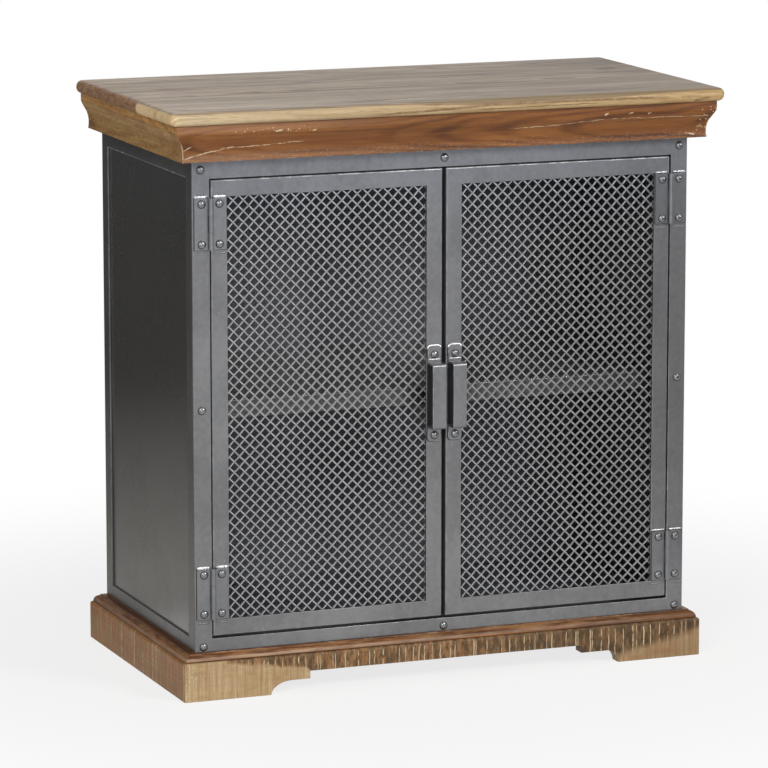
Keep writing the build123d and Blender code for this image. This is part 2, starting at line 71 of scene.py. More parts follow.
# Lengths are in metres, and angles in radians
SIDES = {"left": -1.0, "right": 1.0}
FACE_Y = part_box("corner_post_front_left")[0].y
MESH_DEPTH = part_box("left_door_mesh")[1].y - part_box("left_door_mesh")[0].y
SAME_SPOT, SAME_PLANE = 1e-6, 1e-5
FLAT_ANGLE, SHARP_ANGLE, CREASE_ANGLE = math.radians(1.0), math.radians(30.0), math.radians(38.0)
KNUCKLE_REACH = 0.0075  # from the inner edge of a hinge leaf to the end of its barrel
WELD_LIFT, RUN_DROP = 0.0022, 0.0050  # bead above a hinge leaf, and run of lacquer below it
UPPER_TAB, LOWER_TAB, TAB_CORNER = 0.016, 0.012, 0.005  # what lies on the stile at each end of a handle
BEND_DROP, STRIP_FACE = 0.0190, 0.0031  # bead standing in for the highlight on the bend below a handle's upper end, in front of the door's face
GRIP_FOOT, GRIP_HEAD = 0.020, 0.024  # from a handle's ends to the painted shadow behind its grip
# How far the painted shadow behind a grip reaches in front of and behind the door's face
GRIP_SHADOW_DEPTHS = (-0.00015, 0.0002)
DOME_RISE = 1.35  # height of a dressed rivet head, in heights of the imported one
STITCH = 0.0006  # from ring to ring of a weld bead
WORN_REACH = 0.003  # how far below a door's top its rim is worn
BEND_INSET = 0.001  # from the sides of a handle to the ends of the bead that stands in for the highlight on its bend
STEEL_RELIEF, TIMBER_RELIEF = 0.0006, 0.0004  # depth of the fine relief in the finishes

# Tones of timber from pale to dark, and the painted light and shade that drift along the top from its lighter
# west end to its darker east end
BROWN = ("wheat", "umber", "cocoa")
PALE = ("sapwood", "honey", "walnut")
TOP_PAINTED_LIGHT = ((1.25, 1.23, 1.20), (0.62, 0.58, 0.54))
WHITE = (1.0, 1.0, 1.0)

# Kinds of sockets on a node group
SOCKETS = {"colours": "NodeSocketColor", "values": "NodeSocketFloat", "vectors": "NodeSocketVector"}

# Marks on the timber: start, end, height, rise, bend and width of each line
CORNICE_SCRATCHES = (
    (-0.3840, -0.305, 0.7330, 0.0165, 0.0006, 0.0012),
    (-0.330, -0.205, 0.7480, 0.0045, -0.0012, 0.0008),
    (0.080, 0.225, 0.7548, 0.0078, -0.0022, 0.0007),
    (0.195, 0.400, 0.7622, -0.0030, 0.0002, 0.0005),
    (-0.386, -0.366, 0.7400, 0.0110, 0.0010, 0.0010),
)
CORNICE_NICKS = (
    (-0.253, -0.241, 0.7675, 0.0018, 0.0, 0.0017),
    (-0.201, -0.194, 0.7665, 0.0010, 0.0, 0.0014),
    (0.222, 0.228, 0.7682, 0.0024, 0.0, 0.0019),
    (0.257, 0.265, 0.7677, 0.0010, 0.0, 0.0014),
    (0.286, 0.292, 0.7670, 0.0012, 0.0, 0.0014),
    (0.363, 0.372, 0.7445, 0.0008, 0.0, 0.0019),
    (0.345, 0.362, 0.7375, -0.0036, 0.0, 0.0016),
)
CORNICE_STREAKS = (
    (-0.10, 0.30, 0.7600, 0.0015, 0.0, 0.0009),
    (-0.39, -0.05, 0.7655, -0.0030, 0.0, 0.0012),
    (0.06, 0.40, 0.7535, 0.0070, 0.0, 0.0010),
    (0.17, 0.40, 0.7585, 0.0010, 0.0, 0.0008),
)
NOSE_STREAKS = (
    (0.00, 0.33, 0.7907, -0.0017, 0.0009, 0.0026),
    (-0.12, 0.15, 0.7830, 0.0090, 0.0009, 0.0022),
    (-0.06, 0.16, 0.7950, -0.0022, 0.0, 0.0020),
    (0.02, 0.22, 0.7843, 0.0017, 0.0, 0.0013),
    (0.350, 0.376, 0.7826, 0.0043, 0.0, 0.0026),
)


def colour(name, text, default):
    """A colour that the user may change."""
    return FloatVectorProperty(
        name=name, description=text, default=default, subtype="COLOR", size=3, min=0.0, max=1.0
    )


def length(name, text, default):
    """A length that the user may change."""
    return FloatProperty(name=name, description=text, default=default, min=0.0, unit="LENGTH", precision=5)


def share(name, text, default):
    """A share from none to all that the user may change."""
    return FloatProperty(name=name, description=text, default=default, min=0.0, max=1.0, subtype="FACTOR")


def power(name, text, default):
    """The power of a lamp that the user may change."""
    return FloatProperty(name=name, description=text, default=default, unit="POWER")


class CabinetSteel(bpy.types.PropertyGroup):
    """Lacquer and edges of the steel."""

    lacquer: colour("Lacquer", "Gunmetal lacquer where it lies thick", (0.140, 0.142, 0.148))
    thin_lacquer: colour("Thin lacquer", "Gunmetal lacquer where it is thin", (0.208, 0.210, 0.216))
    sheet: colour("Sheet", "Lacquer of the side panels and the shelf", (0.140, 0.137, 0.132))
    thin_sheet: colour("Thin sheet lacquer", "Lacquer of the panels where it is thin", (0.165, 0.161, 0.154))
    inner: colour("Inner sheet", "Lacquer of the back, the floor and the ceiling", (0.091, 0.093, 0.101))
    thin_inner: colour("Thin inner lacquer", "Inner lacquer where it is thin", (0.119, 0.121, 0.131))
    wire: colour("Wire", "Lacquer of the woven wires", (0.300, 0.302, 0.311))
    thin_wire: colour("Thin wire lacquer", "Lacquer of the wires where it is thin", (0.372, 0.374, 0.384))
    # Painted shade: a near-black lacquer colour laid round rivets, hinge leaves, handle tabs and the side
    # panels' openings, and behind each grip, standing in for their shadows
    pooled: colour("Pooled lacquer", "Lacquer run together round rivets and leaves", (0.020, 0.020, 0.021))
    bare: colour("Bare steel", "Steel that shows at chipped edges", (0.520, 0.525, 0.540))
    # Partly painted highlight: pale steel for the weld beads, whose brightness also stands in for their
    # highlights, and for the bead on each handle's bend, which stands in for a highlight alone
    bright: colour("Bright steel", "Weld beads and rubbed bends", (0.800, 0.805, 0.820))
    plain: colour("Plain steel", "Hinge pins and magnets", (0.420, 0.420, 0.430))
    chips: share("Chips", "How much of the edges is chipped bare", 0.55)
    heel_radius: length("Heel radius", "Rounding of the outer corner of the angle iron", 0.0022)
    edge_radius: length("Edge radius", "Rounding of the cut edges of steel", 0.0006)
    weld_radius: length("Weld radius", "Half width of the weld beads", 0.0027)
    # Width of the strips of painted shade
    pool_width: length("Pool width", "Width of the pooled lacquer", 0.0010)


class CabinetMesh(bpy.types.PropertyGroup):
    """Woven wire of the doors."""

    pitch: length("Pitch", "Distance between neighbouring wires", 0.0104)
    wire: length("Wire", "Diameter of the wire", MESH_DEPTH / 2)
    crimp: share("Crimp", "Sway of the wires as a share of their radius", 0.4)
    steps: IntProperty(name="Steps", description="Rings between two crossings", default=4, min=2, max=8)
    sides: IntProperty(name="Sides", description="Sides of each wire", default=6, min=4, max=12)


class CabinetTimber(bpy.types.PropertyGroup):
    """Tones and edges of the timber."""

    sapwood: colour("Sapwood", "Pale wood of the front board and the feet", (0.545, 0.395, 0.220))
    honey: colour("Honey", "Warm middle tone of the pale wood", (0.400, 0.275, 0.140))
    walnut: colour("Walnut", "Dark streaks in the pale wood", (0.160, 0.085, 0.038))
    wheat: colour("Wheat", "Pale streaks in the brown boards of the top", (0.540, 0.435, 0.325))
    umber: colour("Umber", "Brown boards of the top", (0.280, 0.213, 0.152))
    cocoa: colour("Cocoa", "Dark streaks in the brown boards", (0.120, 0.080, 0.052))
    russet: colour("Russet", "Red brown of the cornice", (0.172, 0.061, 0.015))
    ember: colour("Ember", "Bright red brown of the cornice", (0.270, 0.108, 0.029))
    bark: colour("Bark", "Darkest red brown", (0.075, 0.026, 0.010))
    olive: colour("Olive", "Olive tan of the side cornice", (0.405, 0.248, 0.088))
    fawn: colour("Fawn", "Sawn brown of the plinth sides", (0.300, 0.150, 0.058))
    smoke: colour("Smoke", "Dark band along the front plinth board", (0.060, 0.034, 0.015))
    chalk: colour("Chalk", "Filler in scratches, dings and saw cuts", (0.640, 0.500, 0.330))
    softwood: colour("Softwood", "Hidden glue blocks and the back rail", (0.460, 0.320, 0.180))
    arris: length("Arris", "Rounding of the timber's sharp edges", 0.0008)


class CabinetStage(bpy.types.PropertyGroup):
    """Camera, lamps and floor."""

    camera_place: FloatVectorProperty(
        name="Camera place",
        description="Where the camera stands",
        default=(-2.3376, -5.9254, 1.5412),
        subtype="TRANSLATION",
    )
    camera_turn: FloatVectorProperty(
        name="Camera turn",
        description="How the camera is turned",
        default=(math.pi / 2 - 0.18079, 0.0, -0.37320),
        subtype="EULER",
    )
    lens: FloatProperty(name="Lens", description="Focal length in millimetres", default=217.9, min=1.0)
    left_lamp: power("Left lamp", "Power of the left soft box", 55.0)
    right_lamp: power("Right lamp", "Power of the right soft box", 85.0)
    front_fill: power("Front fill", "Power of the low soft box in front", 24.0)
    ambient: FloatProperty(name="Ambient", description="Light of the white room", default=0.32, min=0.0)
    floor: colour("Floor", "Pale floor", (0.86, 0.86, 0.85))


def link(tree, value, socket):
    """Feed a socket from a flow, or set it to a plain value."""
    if isinstance(value, Flow):
        tree.links.new(value.socket, socket)
    elif socket.type == "RGBA" and len(value) == 3:
        socket.default_value = (*value, 1.0)
    else:
        socket.default_value = value


def node(tree, kind, settings=None, **inputs):
    """Add a shader node; a key such as i1 names an input by its place, any other by its name."""
    made = tree.nodes.new(kind)
    for key, value in (settings or {}).items():
        setattr(made, key, value)
    for key, value in inputs.items():
        place = int(key[1:]) if key[0] == "i" and key[1:].isdigit() else key.replace("_", " ")
        link(tree, value, made.inputs[place])
    return made


def flow(tree, kind, out=0, settings=None, **inputs):
    """The flow out of a new shader node."""
    return Flow(tree, node(tree, kind, settings, **inputs).outputs[out])


def reckon(tree, operation, *values, clamp=False):
    """One step of arithmetic."""
    inputs = {f"i{place}": value for place, value in enumerate(values)}
    return flow(tree, "ShaderNodeMath", 0, {"operation": operation, "use_clamp": clamp}, **inputs)


def reckoner(operation):
    """A method that reckons with a flow, and with a second value if its sign takes two."""
    return lambda self, *other: reckon(self.tree, operation, self, *other)


def tint(tree, factor, a, b, how="MIX"):
    """Mix two colours."""
    settings = {"data_type": "RGBA", "blend_type": how, "clamp_factor": True}
    return flow(tree, "ShaderNodeMix", 2, settings, i0=factor, i6=a, i7=b)


class Flow:
    """A shader socket to reckon with: | takes the larger of two values, and < is one where it holds."""

    __add__, __sub__, __mul__, __truediv__ = map(reckoner, ("ADD", "SUBTRACT", "MULTIPLY", "DIVIDE"))
    __or__, __lt__, __abs__ = map(reckoner, ("MAXIMUM", "LESS_THAN", "ABSOLUTE"))

    def __init__(self, tree, socket):
        self.tree, self.socket = tree, socket

    def __rsub__(self, other):
        return reckon(self.tree, "SUBTRACT", other, self)

    def ramp(self, low, high, to_low=0.0, to_high=1.0, kind="SMOOTHSTEP"):
        """Spread the values between low and high, and hold them beyond."""
        settings = {"interpolation_type": kind, "clamp": True}
        ends = {"i1": low, "i2": high, "i3": to_low, "i4": to_high}
        return flow(self.tree, "ShaderNodeMapRange", 0, settings, i0=self, **ends)

    def fall(self, low, high):
        """One below low, and nought above high."""
        return self.ramp(low, high, 1.0, 0.0)

    def band(self, foot, low, high, head):
        """One from low to high, and nought below foot and above head."""
        return self.ramp(foot, low) * self.fall(high, head)

    def mix(self, a, b):
        """Two colours mixed by this share."""
        return tint(self.tree, self, a, b)

    def over(self, factor, other):
        """This colour with another laid over it."""
        return tint(self.tree, factor, self, other)

    def dyed(self, other, factor=1.0):
        """This colour multiplied by another."""
        return tint(self.tree, factor, self, other, "MULTIPLY")

    def moved(self, operation, other):
        """These coordinates shifted (ADD) or stretched (MULTIPLY)."""
        return flow(self.tree, "ShaderNodeVectorMath", 0, {"operation": operation}, i0=self, i1=other)

    def apart(self):
        """The x, y and z of these coordinates."""
        return [Flow(self.tree, one) for one in node(self.tree, "ShaderNodeSeparateXYZ", Vector=self).outputs]

    def cloud(self, scale, detail=3.0, roughness=0.55, distortion=0.0):
        """Soft noise from nought to one over these coordinates, with one scale or one for each axis."""
        place = self
        if isinstance(scale, tuple):
            place, scale = self.moved("MULTIPLY", scale), 1.0
        settings = {"Scale": scale, "Detail": detail, "Roughness": roughness, "Distortion": distortion}
        return flow(self.tree, "ShaderNodeTexNoise", "Fac", Vector=place, **settings)


def coordinates(tree):
    """Coordinates of the whole cabinet."""
    return flow(tree, "ShaderNodeTexCoord", "Object")


def worn_edge(tree):
    """How worn the rounded edges are."""
    return flow(tree, "ShaderNodeAttribute", "Fac", {"attribute_name": "worn_edge"})


def cells(tree, settings=None, **inputs):
    """The distance to the nearest of many scattered points, and that point's three random numbers."""
    found = node(tree, "ShaderNodeTexVoronoi", settings, **inputs).outputs
    luck = node(tree, "ShaderNodeSeparateColor", Color=Flow(tree, found["Color"])).outputs
    return Flow(tree, found["Distance"]), [Flow(tree, number) for number in luck]


def new_group(name, gives, **takes):
    """An empty shader node group with named sockets: its tree, what it takes and what it gives."""
    tree = bpy.data.node_groups.new(name, "ShaderNodeTree")
    for way, sockets in (("INPUT", takes), ("OUTPUT", gives)):
        for kind, names in sockets.items():
            for key in names.split():
                tree.interface.new_socket(name=key, in_out=way, socket_type=SOCKETS[kind])
    taken = {socket.name: Flow(tree, socket) for socket in tree.nodes.new("NodeGroupInput").outputs}
    return tree, taken, tree.nodes.new("NodeGroupOutput").inputs


def filled(tree, gives, **values):
    """A group's tree with its outputs fed."""
    for key, value in values.items():
        link(tree, value, gives[key])
    return tree


def group(tree, build, **inputs):
    """Place a shared node group, built on its first use."""
    shared = bpy.data.node_groups.get(build.__name__) or build(build.__name__)
    made = node(tree, "ShaderNodeGroup", {"node_tree": shared}, **inputs)
    return {socket.name: Flow(tree, socket) for socket in made.outputs}


def uneven_lacquer(name):
    """Hand-laid lacquer: cloudy tone, faint brush marks and dents, and edges chipped to bare steel."""
    gives = {"colours": "Colour", "values": "Roughness Height"}
    tree, given, gives = new_group(name, gives, colours="Lacquer Thin Bare", values="Chips Gloss")
    place = coordinates(tree)
    fine = place.cloud(130.0, 3.0, 0.6)
    tone = place.cloud(9.0, 4.0, 0.6) * 0.56 + place.cloud((60.0, 60.0, 9.0)) * 0.16 + fine * 0.28
    broken = place.cloud(70.0, 5.0, 0.7).ramp(0.42, 0.60)
    speck = place.cloud(150.0, 2.0, 0.5).ramp(0.745, 0.77)
    bareness = worn_edge(tree) * broken * given["Chips"] | speck * 0.3
    base = tone.ramp(0.34, 0.66).mix(given["Lacquer"], given["Thin"])
    base = base.dyed((0.98, 1.01, 1.08), place.apart()[2].ramp(0.58, 0.72))
    rough = tone.ramp(0.3, 0.7, 0.42, 0.35) + place.cloud(420.0, 2.0) * 0.06 - bareness * 0.12
    return filled(
        tree,
        gives,
        Colour=base.over(bareness, given["Bare"]),
        Roughness=reckon(tree, "SUBTRACT", rough, given["Gloss"], clamp=True),
        Height=place.cloud(34.0) * 1.2 + fine * 0.35,
    )


def timber_grain(name):
    """Timber grown along x: streaks, year rings bowed round the heart of the tree, fibres and pores."""
    tree, given, gives = new_group(
        name,
        {"colours": "Colour", "values": "Roughness Height"},
        vectors="Vector Seed",
        colours="Pale Middle Dark",
        values="Rings Figure Heart Depth Taper Fibre Lean",
    )
    place = given["Vector"].moved("ADD", given["Seed"])
    x, y, z = given["Vector"].apart()
    across = y + z - given["Heart"]
    bow = reckon(tree, "SQRT", across * across + given["Depth"] * given["Depth"])
    swing = place.cloud((3.0, 10.0, 10.0), 3.0, 0.5) * (given["Figure"] * 34.0)
    ring = (bow - x * given["Taper"]) * 900.0 + swing
    faint = place.cloud((7.0, 40.0, 40.0), 2.0).ramp(0.3, 0.62)
    rings = reckon(tree, "SINE", ring).ramp(-0.4, 1.0) * faint
    streak = place.cloud((5.0, 110.0, 110.0), 3.0, 0.6)
    fibre = place.cloud((11.0, 330.0, 330.0), 4.0, 0.6)
    pore = place.cloud((55.0, 900.0, 900.0), 1.0).ramp(0.60, 0.72)
    tone = place.cloud((1.6, 14.0, 14.0), 3.0, 0.5, 0.5) * 0.54 + rings * given["Rings"]
    tone = tone + (streak + fibre) * given["Fibre"] + given["Lean"]
    wood = tone.ramp(0.36, 0.60).mix(given["Pale"], given["Middle"])
    wood = wood.over(tone.ramp(0.58, 0.80), given["Dark"])
    return filled(
        tree,
        gives,
        Colour=wood.over(pore * (given["Fibre"] * 1.8), given["Dark"]),
        Roughness=fibre.ramp(0.25, 0.75, 0.38, 0.56),
        Height=fibre * 0.7 - pore * 0.5,
    )


def saw_cuts(name):
    """Upright marks of a coarse saw, irregular along x: a mask of pale cuts, and fine combing."""
    gives = {"values": "Cuts Combing"}
    tree, given, gives = new_group(name, gives, vectors="Vector", values="Density Width Keep")
    place = given["Vector"]
    along = (place.apart()[0] + place.cloud((14.0, 14.0, 120.0)) * 0.0024) * given["Density"]
    away, luck = cells(tree, {"voronoi_dimensions": "1D"}, W=along, Scale=1.0, Randomness=0.9)
    width = given["Width"] * (luck[2] * 0.9 + 0.5)
    gone = place.cloud((150.0, 30.0, 90.0)).ramp(0.33, 0.50)
    line = away.fall(width * 0.3, width) * (luck[0] < given["Keep"])
    cuts = line * ((luck[1] * 0.35 + 0.65) * gone)
    return filled(tree, gives, Cuts=cuts, Combing=place.cloud((330.0, 60.0, 12.0), 4.0, 0.65))


def scratch(name):
    """One long scratch over x and z: a broken line that rises and bends."""
    values = "From To Height Rise Bend Width Broken"
    tree, given, gives = new_group(name, {"values": "Line"}, vectors="Vector", values=values)
    place = given["Vector"]
    x, _, z = place.apart()
    part = (x - given["From"]) / (given["To"] - given["From"])
    level = given["Height"] + part * given["Rise"] + part * (1.0 - part) * (given["Bend"] * 4.0)
    wander = (place.cloud(45.0) - 0.5) * 0.004
    line = abs(z + wander - level).fall(given["Width"] * 0.3, given["Width"])
    gaps = place.cloud(130.0, 3.0, 0.7).fall(0.40, 0.56) * given["Broken"]
    return filled(tree, gives, Line=line * part.band(0.0, 0.15, 0.85, 1.0) * (1.0 - gaps))


def dings(name):
    """Small filled dents, scattered where the mask lets them."""
    gives = {"values": "Dings"}
    tree, given, gives = new_group(name, gives, vectors="Vector", values="Density Size Keep Mask")
    place = given["Vector"]
    away, luck = cells(tree, Vector=place, Scale=given["Density"])
    far = away + (place.cloud(260.0, 2.0) - 0.5) * 0.3
    kept = luck[0] < given["Keep"] * given["Mask"]
    return filled(tree, gives, Dings=far.fall(given["Size"] * 0.5, given["Size"]) * kept)


def emptied(owner, kind="Material"):
    """The emptied node tree of a new material or world, and the socket of its surface."""
    owner.use_nodes = True
    tree = owner.node_tree
    tree.nodes.clear()
    return tree, node(tree, f"ShaderNodeOutput{kind}").inputs["Surface"]


def new_material(name, **settings):
    """A material with one Principled shader, whose plain values are set on its own sockets."""
    made = bpy.data.materials.new(name)
    tree, surface = emptied(made)
    shader = node(tree, "ShaderNodeBsdfPrincipled", **settings)
    tree.links.new(shader.outputs[0], surface)
    return made, tree, shader


def dress(tree, shader, tone, rough, height, depth, strength):
    """Feed a shader its tone, its roughness and its relief."""
    relief = flow(tree, "ShaderNodeBump", "Normal", Strength=strength, Distance=depth, Height=height)
    for key, value in {"Base Color": tone, "Roughness": rough, "Normal": relief}.items():
        link(tree, value, shader.inputs[key])


def frame_wash(place):
    """Painted light and shade on the frame: paler towards the floor as a painted reflection, darker on the
    outer sides as painted shade, and a broken painted highlight along the foot of the side rails.
    """
    x, y, z = place.apart()
    # Painted reflection of the floor: paler towards the bottom
    front = z.ramp(0.10, 0.60).mix((1.06, 1.05, 1.03), (0.96, 0.96, 0.96))
    half = max(corner.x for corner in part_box("corner_post_front_right"))
    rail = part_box("left_top_rail")[0].z
    fore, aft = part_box("corner_post_front_left")[1].y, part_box("corner_post_rear_left")[0].y
    strip = z.band(rail - 0.003, rail - 0.002, rail + 0.0010, rail + 0.0018)
    strip = strip * y.band(fore - 0.001, fore + 0.001, aft - 0.001, aft + 0.001)
    # Painted highlight: broken pale glints along the foot of the side rails, fainter on the right side
    rubbed = place.cloud(55.0).ramp(0.54, 0.66, 2.2, 7.0) * x.ramp(-0.1, 0.1, 1.0, 0.3)
    # Painted shade: the outer sides are darker, except for the painted highlight along the rails
    return abs(x).ramp(half - 0.0012, half - 0.0003).mix(front, strip.mix((0.74, 0.71, 0.66), rubbed))


def upright_wash(x):
    """Broad upright stretches of painted sheen, standing in for reflections on the back seen through the mesh.
    """
    end = x.fall(0.26, 0.32)
    tone = (x.fall(-0.09, -0.03) | x.ramp(0.0, 0.08) * end) * 0.6 + 0.75
    return x.ramp(0.12, 0.22) * end * 0.4 + tone


def back_wash(place):
    """The upright stretches of painted sheen on the inside of the back, with painted light and shade that
    change with height: paler at the foot of the lower compartment and darker towards the top of the upper one.
    """
    x, y, z = place.apart()
    low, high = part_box("back_panel")
    lower = z.ramp(0.10, 0.24, 1.35, 1.0) * z.ramp(0.30, 0.42, 0.85, 1.0)
    tone = upright_wash(x) * (z.ramp(0.52, 0.62, 1.0, 0.55) * lower)
    return (y < 0.5 * (low.y + high.y)).mix(WHITE, tone)


def shelf_wash(place):
    """A paler upper face of the shelf as painted light, with the same stretches of painted sheen."""
    x, _, z = place.apart()
    return z.ramp(0.3996, 0.4003).mix(WHITE, upright_wash(x) * 2.0)


# Lacquer where it is thick and thin, gloss taken off its roughness, relief, painted light and shade, and then
# how metallic it is, and the weight and roughness of its clear coat
STEEL_FINISHES = {
    "gunmetal_frame": ("lacquer", "thin_lacquer", 0.0, 0.35, frame_wash, 0.75, 0.12, 0.25),
    "gunmetal_sheet": ("sheet", "thin_sheet", 0.16, 0.08, None, 0.85, 0.0, 0.25),
    "gunmetal_shelf": ("sheet", "thin_sheet", 0.16, 0.08, shelf_wash, 0.85, 0.0, 0.25),
    "dark_sheet": ("inner", "thin_inner", 0.0, 0.35, back_wash, 0.25, 0.0, 0.25),
    "gunmetal_wire": ("wire", "thin_wire", 0.05, 0.35, None, 0.75, 0.12, 0.25),
    "gunmetal_fittings": ("lacquer", "thin_lacquer", 0.04, 0.35, None, 0.75, 0.5, 0.12),
    "glossy_lacquer": ("lacquer", "thin_lacquer", 0.20, 0.35, None, 0.75, 0.8, 0.08),
    "bright_weld": ("bare", "bright", 0.14, 0.35, None, 1.0, 0.0, 0.25),
    # Painted shade: the near-black lacquer of the strips that stand in for shadows
    "pooled_lacquer": ("pooled", "pooled", 0.0, 0.35, None, 0.0, 0.0, 0.25),
    "turned_steel": ("plain", "bare", 0.0, 0.35, None, 1.0, 0.0, 0.25),
}


def steel_finish(name):
    """Lacquered or bare steel from the table of finishes."""
    if name in bpy.data.materials:
        return bpy.data.materials[name]
    steel = bpy.context.scene.cabinet_steel
    thick, thin, gloss, relief, painted_light, metal, coat, dull = STEEL_FINISHES[name]
    made, tree, shader = new_material(name, Metallic=metal, Coat_Weight=coat, Coat_Roughness=dull)
    lacquer = {"Lacquer": getattr(steel, thick), "Thin": getattr(steel, thin), "Bare": steel.bare}
    laid = group(tree, uneven_lacquer, Chips=steel.chips, Gloss=gloss, **lacquer)
    # Painted light and shade from the table, laid over the lacquer's colour
    tone = laid["Colour"].dyed(painted_light(coordinates(tree))) if painted_light else laid["Colour"]
    dress(tree, shader, tone, laid["Roughness"], laid["Height"], STEEL_RELIEF, relief)
    return made


def grain_of(place, seed, tones, rings=0.12, figure=1.0, bow=(0.0, 0.0, 0.0), fibre=0.25, lean=0.0):
    """Grain in three tones, from pale to dark; bow holds the rings' heart, depth and taper."""
    timber = bpy.context.scene.cabinet_timber
    inputs = {"Seed": seed, "Rings": rings, "Figure": figure, "Fibre": fibre, "Lean": lean}
    inputs.update(zip(("Pale", "Middle", "Dark"), (getattr(timber, tone) for tone in tones)))
    inputs.update(zip(("Heart", "Depth", "Taper"), bow))
    return group(place.tree, timber_grain, Vector=place, **inputs)


def timber_finish(name, along, seed, tones, marks=None, coat=0.06, **grain):
    """Oiled timber with its grain along X or Y; marks are laid over the grain."""
    if name in bpy.data.materials:
        return bpy.data.materials[name]
    timber = bpy.context.scene.cabinet_timber
    settings = {"Coat_Weight": coat, "Coat_Roughness": 0.3, "Specular_IOR_Level": 0.22}
    made, tree, shader = new_material(name, **settings)
    place = coordinates(tree)
    if along == "Y":
        x, y, z = place.apart()
        place = flow(tree, "ShaderNodeCombineXYZ", X=y, Y=x, Z=z)
    figure = grain_of(place, seed, tones, **grain)
    wood, height = figure["Colour"], figure["Height"]
    if marks:
        wood, height = marks(place, timber, wood, height)
    rubbed = place.cloud(55.0, 4.0, 0.7).ramp(0.48, 0.66, 0.0, 0.40)
    wood = wood.over(worn_edge(tree) * rubbed, timber.chalk)
    dress(tree, shader, wood, figure["Roughness"], height, TIMBER_RELIEF, 0.5)
    return made


def drifting(place, wood, west, east):
    """Wood with painted light and shade that drift along the board from its west end to its east end."""
    return wood.dyed(place.apart()[0].ramp(-0.4, 0.4, kind="LINEAR").mix(west, east))


def lines_over(place, lines, broken):
    """The strongest of several scratches."""
    keys = ("From", "To", "Height", "Rise", "Bend", "Width")
    found = [group(place.tree, scratch, Vector=place, Broken=broken, **dict(zip(keys, line))) for line in lines]
    return reduce(Flow.__or__, [one["Line"] for one in found])


def dents(place, density, size, keep, mask):
    """Filled dents where the mask lets them."""
    return group(place.tree, dings, Vector=place, Density=density, Size=size, Keep=keep, Mask=mask)["Dings"]


def bare_softwood():
    """Unfinished softwood of the hidden pieces."""
    tones = ("softwood", "honey", "umber")
    return timber_finish("bare_softwood", "X", (1.0, 6.0, 2.0), tones, rings=0.1, lean=-0.05)


def cornice_marks(place, timber, wood, height):
    """Scratches, nicks and filled dents along the front cornice, and a painted highlight along its lip and its
    foot.
    """
    x, y, z = place.apart()
    wood = wood.dyed((0.86, 0.85, 0.84), x.band(-0.26, -0.14, -0.02, 0.08))
    wood = wood.over(lines_over(place, CORNICE_STREAKS, 0.5) * 0.55, timber.bark)
    row = x.band(-0.315, -0.290, -0.215, -0.195) * z.band(0.7655, 0.7675, 0.7715, 0.7735)
    dots = dents(place, 250.0, 0.36, 0.75, row | x.ramp(0.340, 0.375) * 0.35)
    rubbed = place.cloud(160.0, 3.0, 0.7).ramp(0.40, 0.56, 0.0, 0.7) * z.fall(0.752, 0.762)
    mitre = rubbed * (abs(x) + y).ramp(0.1790, 0.1806)
    low = z.fall(0.736, 0.744)
    # Painted highlight: a pale pinkish sheen along the lip and the foot of the cornice, strongest at the west
    # end and gone by the middle
    lip = (z.ramp(0.7675, 0.7705) | low * 0.8) * x.ramp(-0.36, 0.05, 0.26, 0.0)
    wood = wood.over(lip, (0.42, 0.26, 0.17))
    marks = lines_over(place, CORNICE_SCRATCHES, 0.8) * 0.9 | lines_over(place, CORNICE_NICKS, 0.7)
    marks = marks | dots * 0.75 | mitre | dents(place, 420.0, 0.42, 0.45, low) * 0.20
    return wood.over(marks * 0.9, timber.chalk), height - marks * 0.8


def cornice_side_marks(place, timber, wood, height):
    """Orange and dark flecks in the side cornices, with a cove lightened as painted light and a paler lip."""
    z = place.apart()[2]
    fleck = place.cloud((150.0, 420.0, 420.0), 2.0, 0.6)
    warm = place.cloud((26.0, 70.0, 70.0), 3.0, 0.6)
    wood = wood.over(warm.ramp(0.52, 0.70, 0.0, 0.35), timber.ember)
    wood = wood.over(fleck.ramp(0.56, 0.72, 0.0, 0.40), timber.smoke)
    wood = wood.over(fleck.ramp(0.30, 0.46, 0.55, 0.0), timber.sapwood)
    # Painted light: the cove is lightened where the shade under the lip falls
    wood = wood.dyed((1.30, 1.34, 1.48), z.band(0.751, 0.760, 0.7665, 0.7700))
    wood = wood.dyed((1.02, 1.00, 0.90), z.fall(0.742, 0.768))
    return wood.dyed((1.50, 1.40, 1.12), z.ramp(0.7695, 0.7715)), height


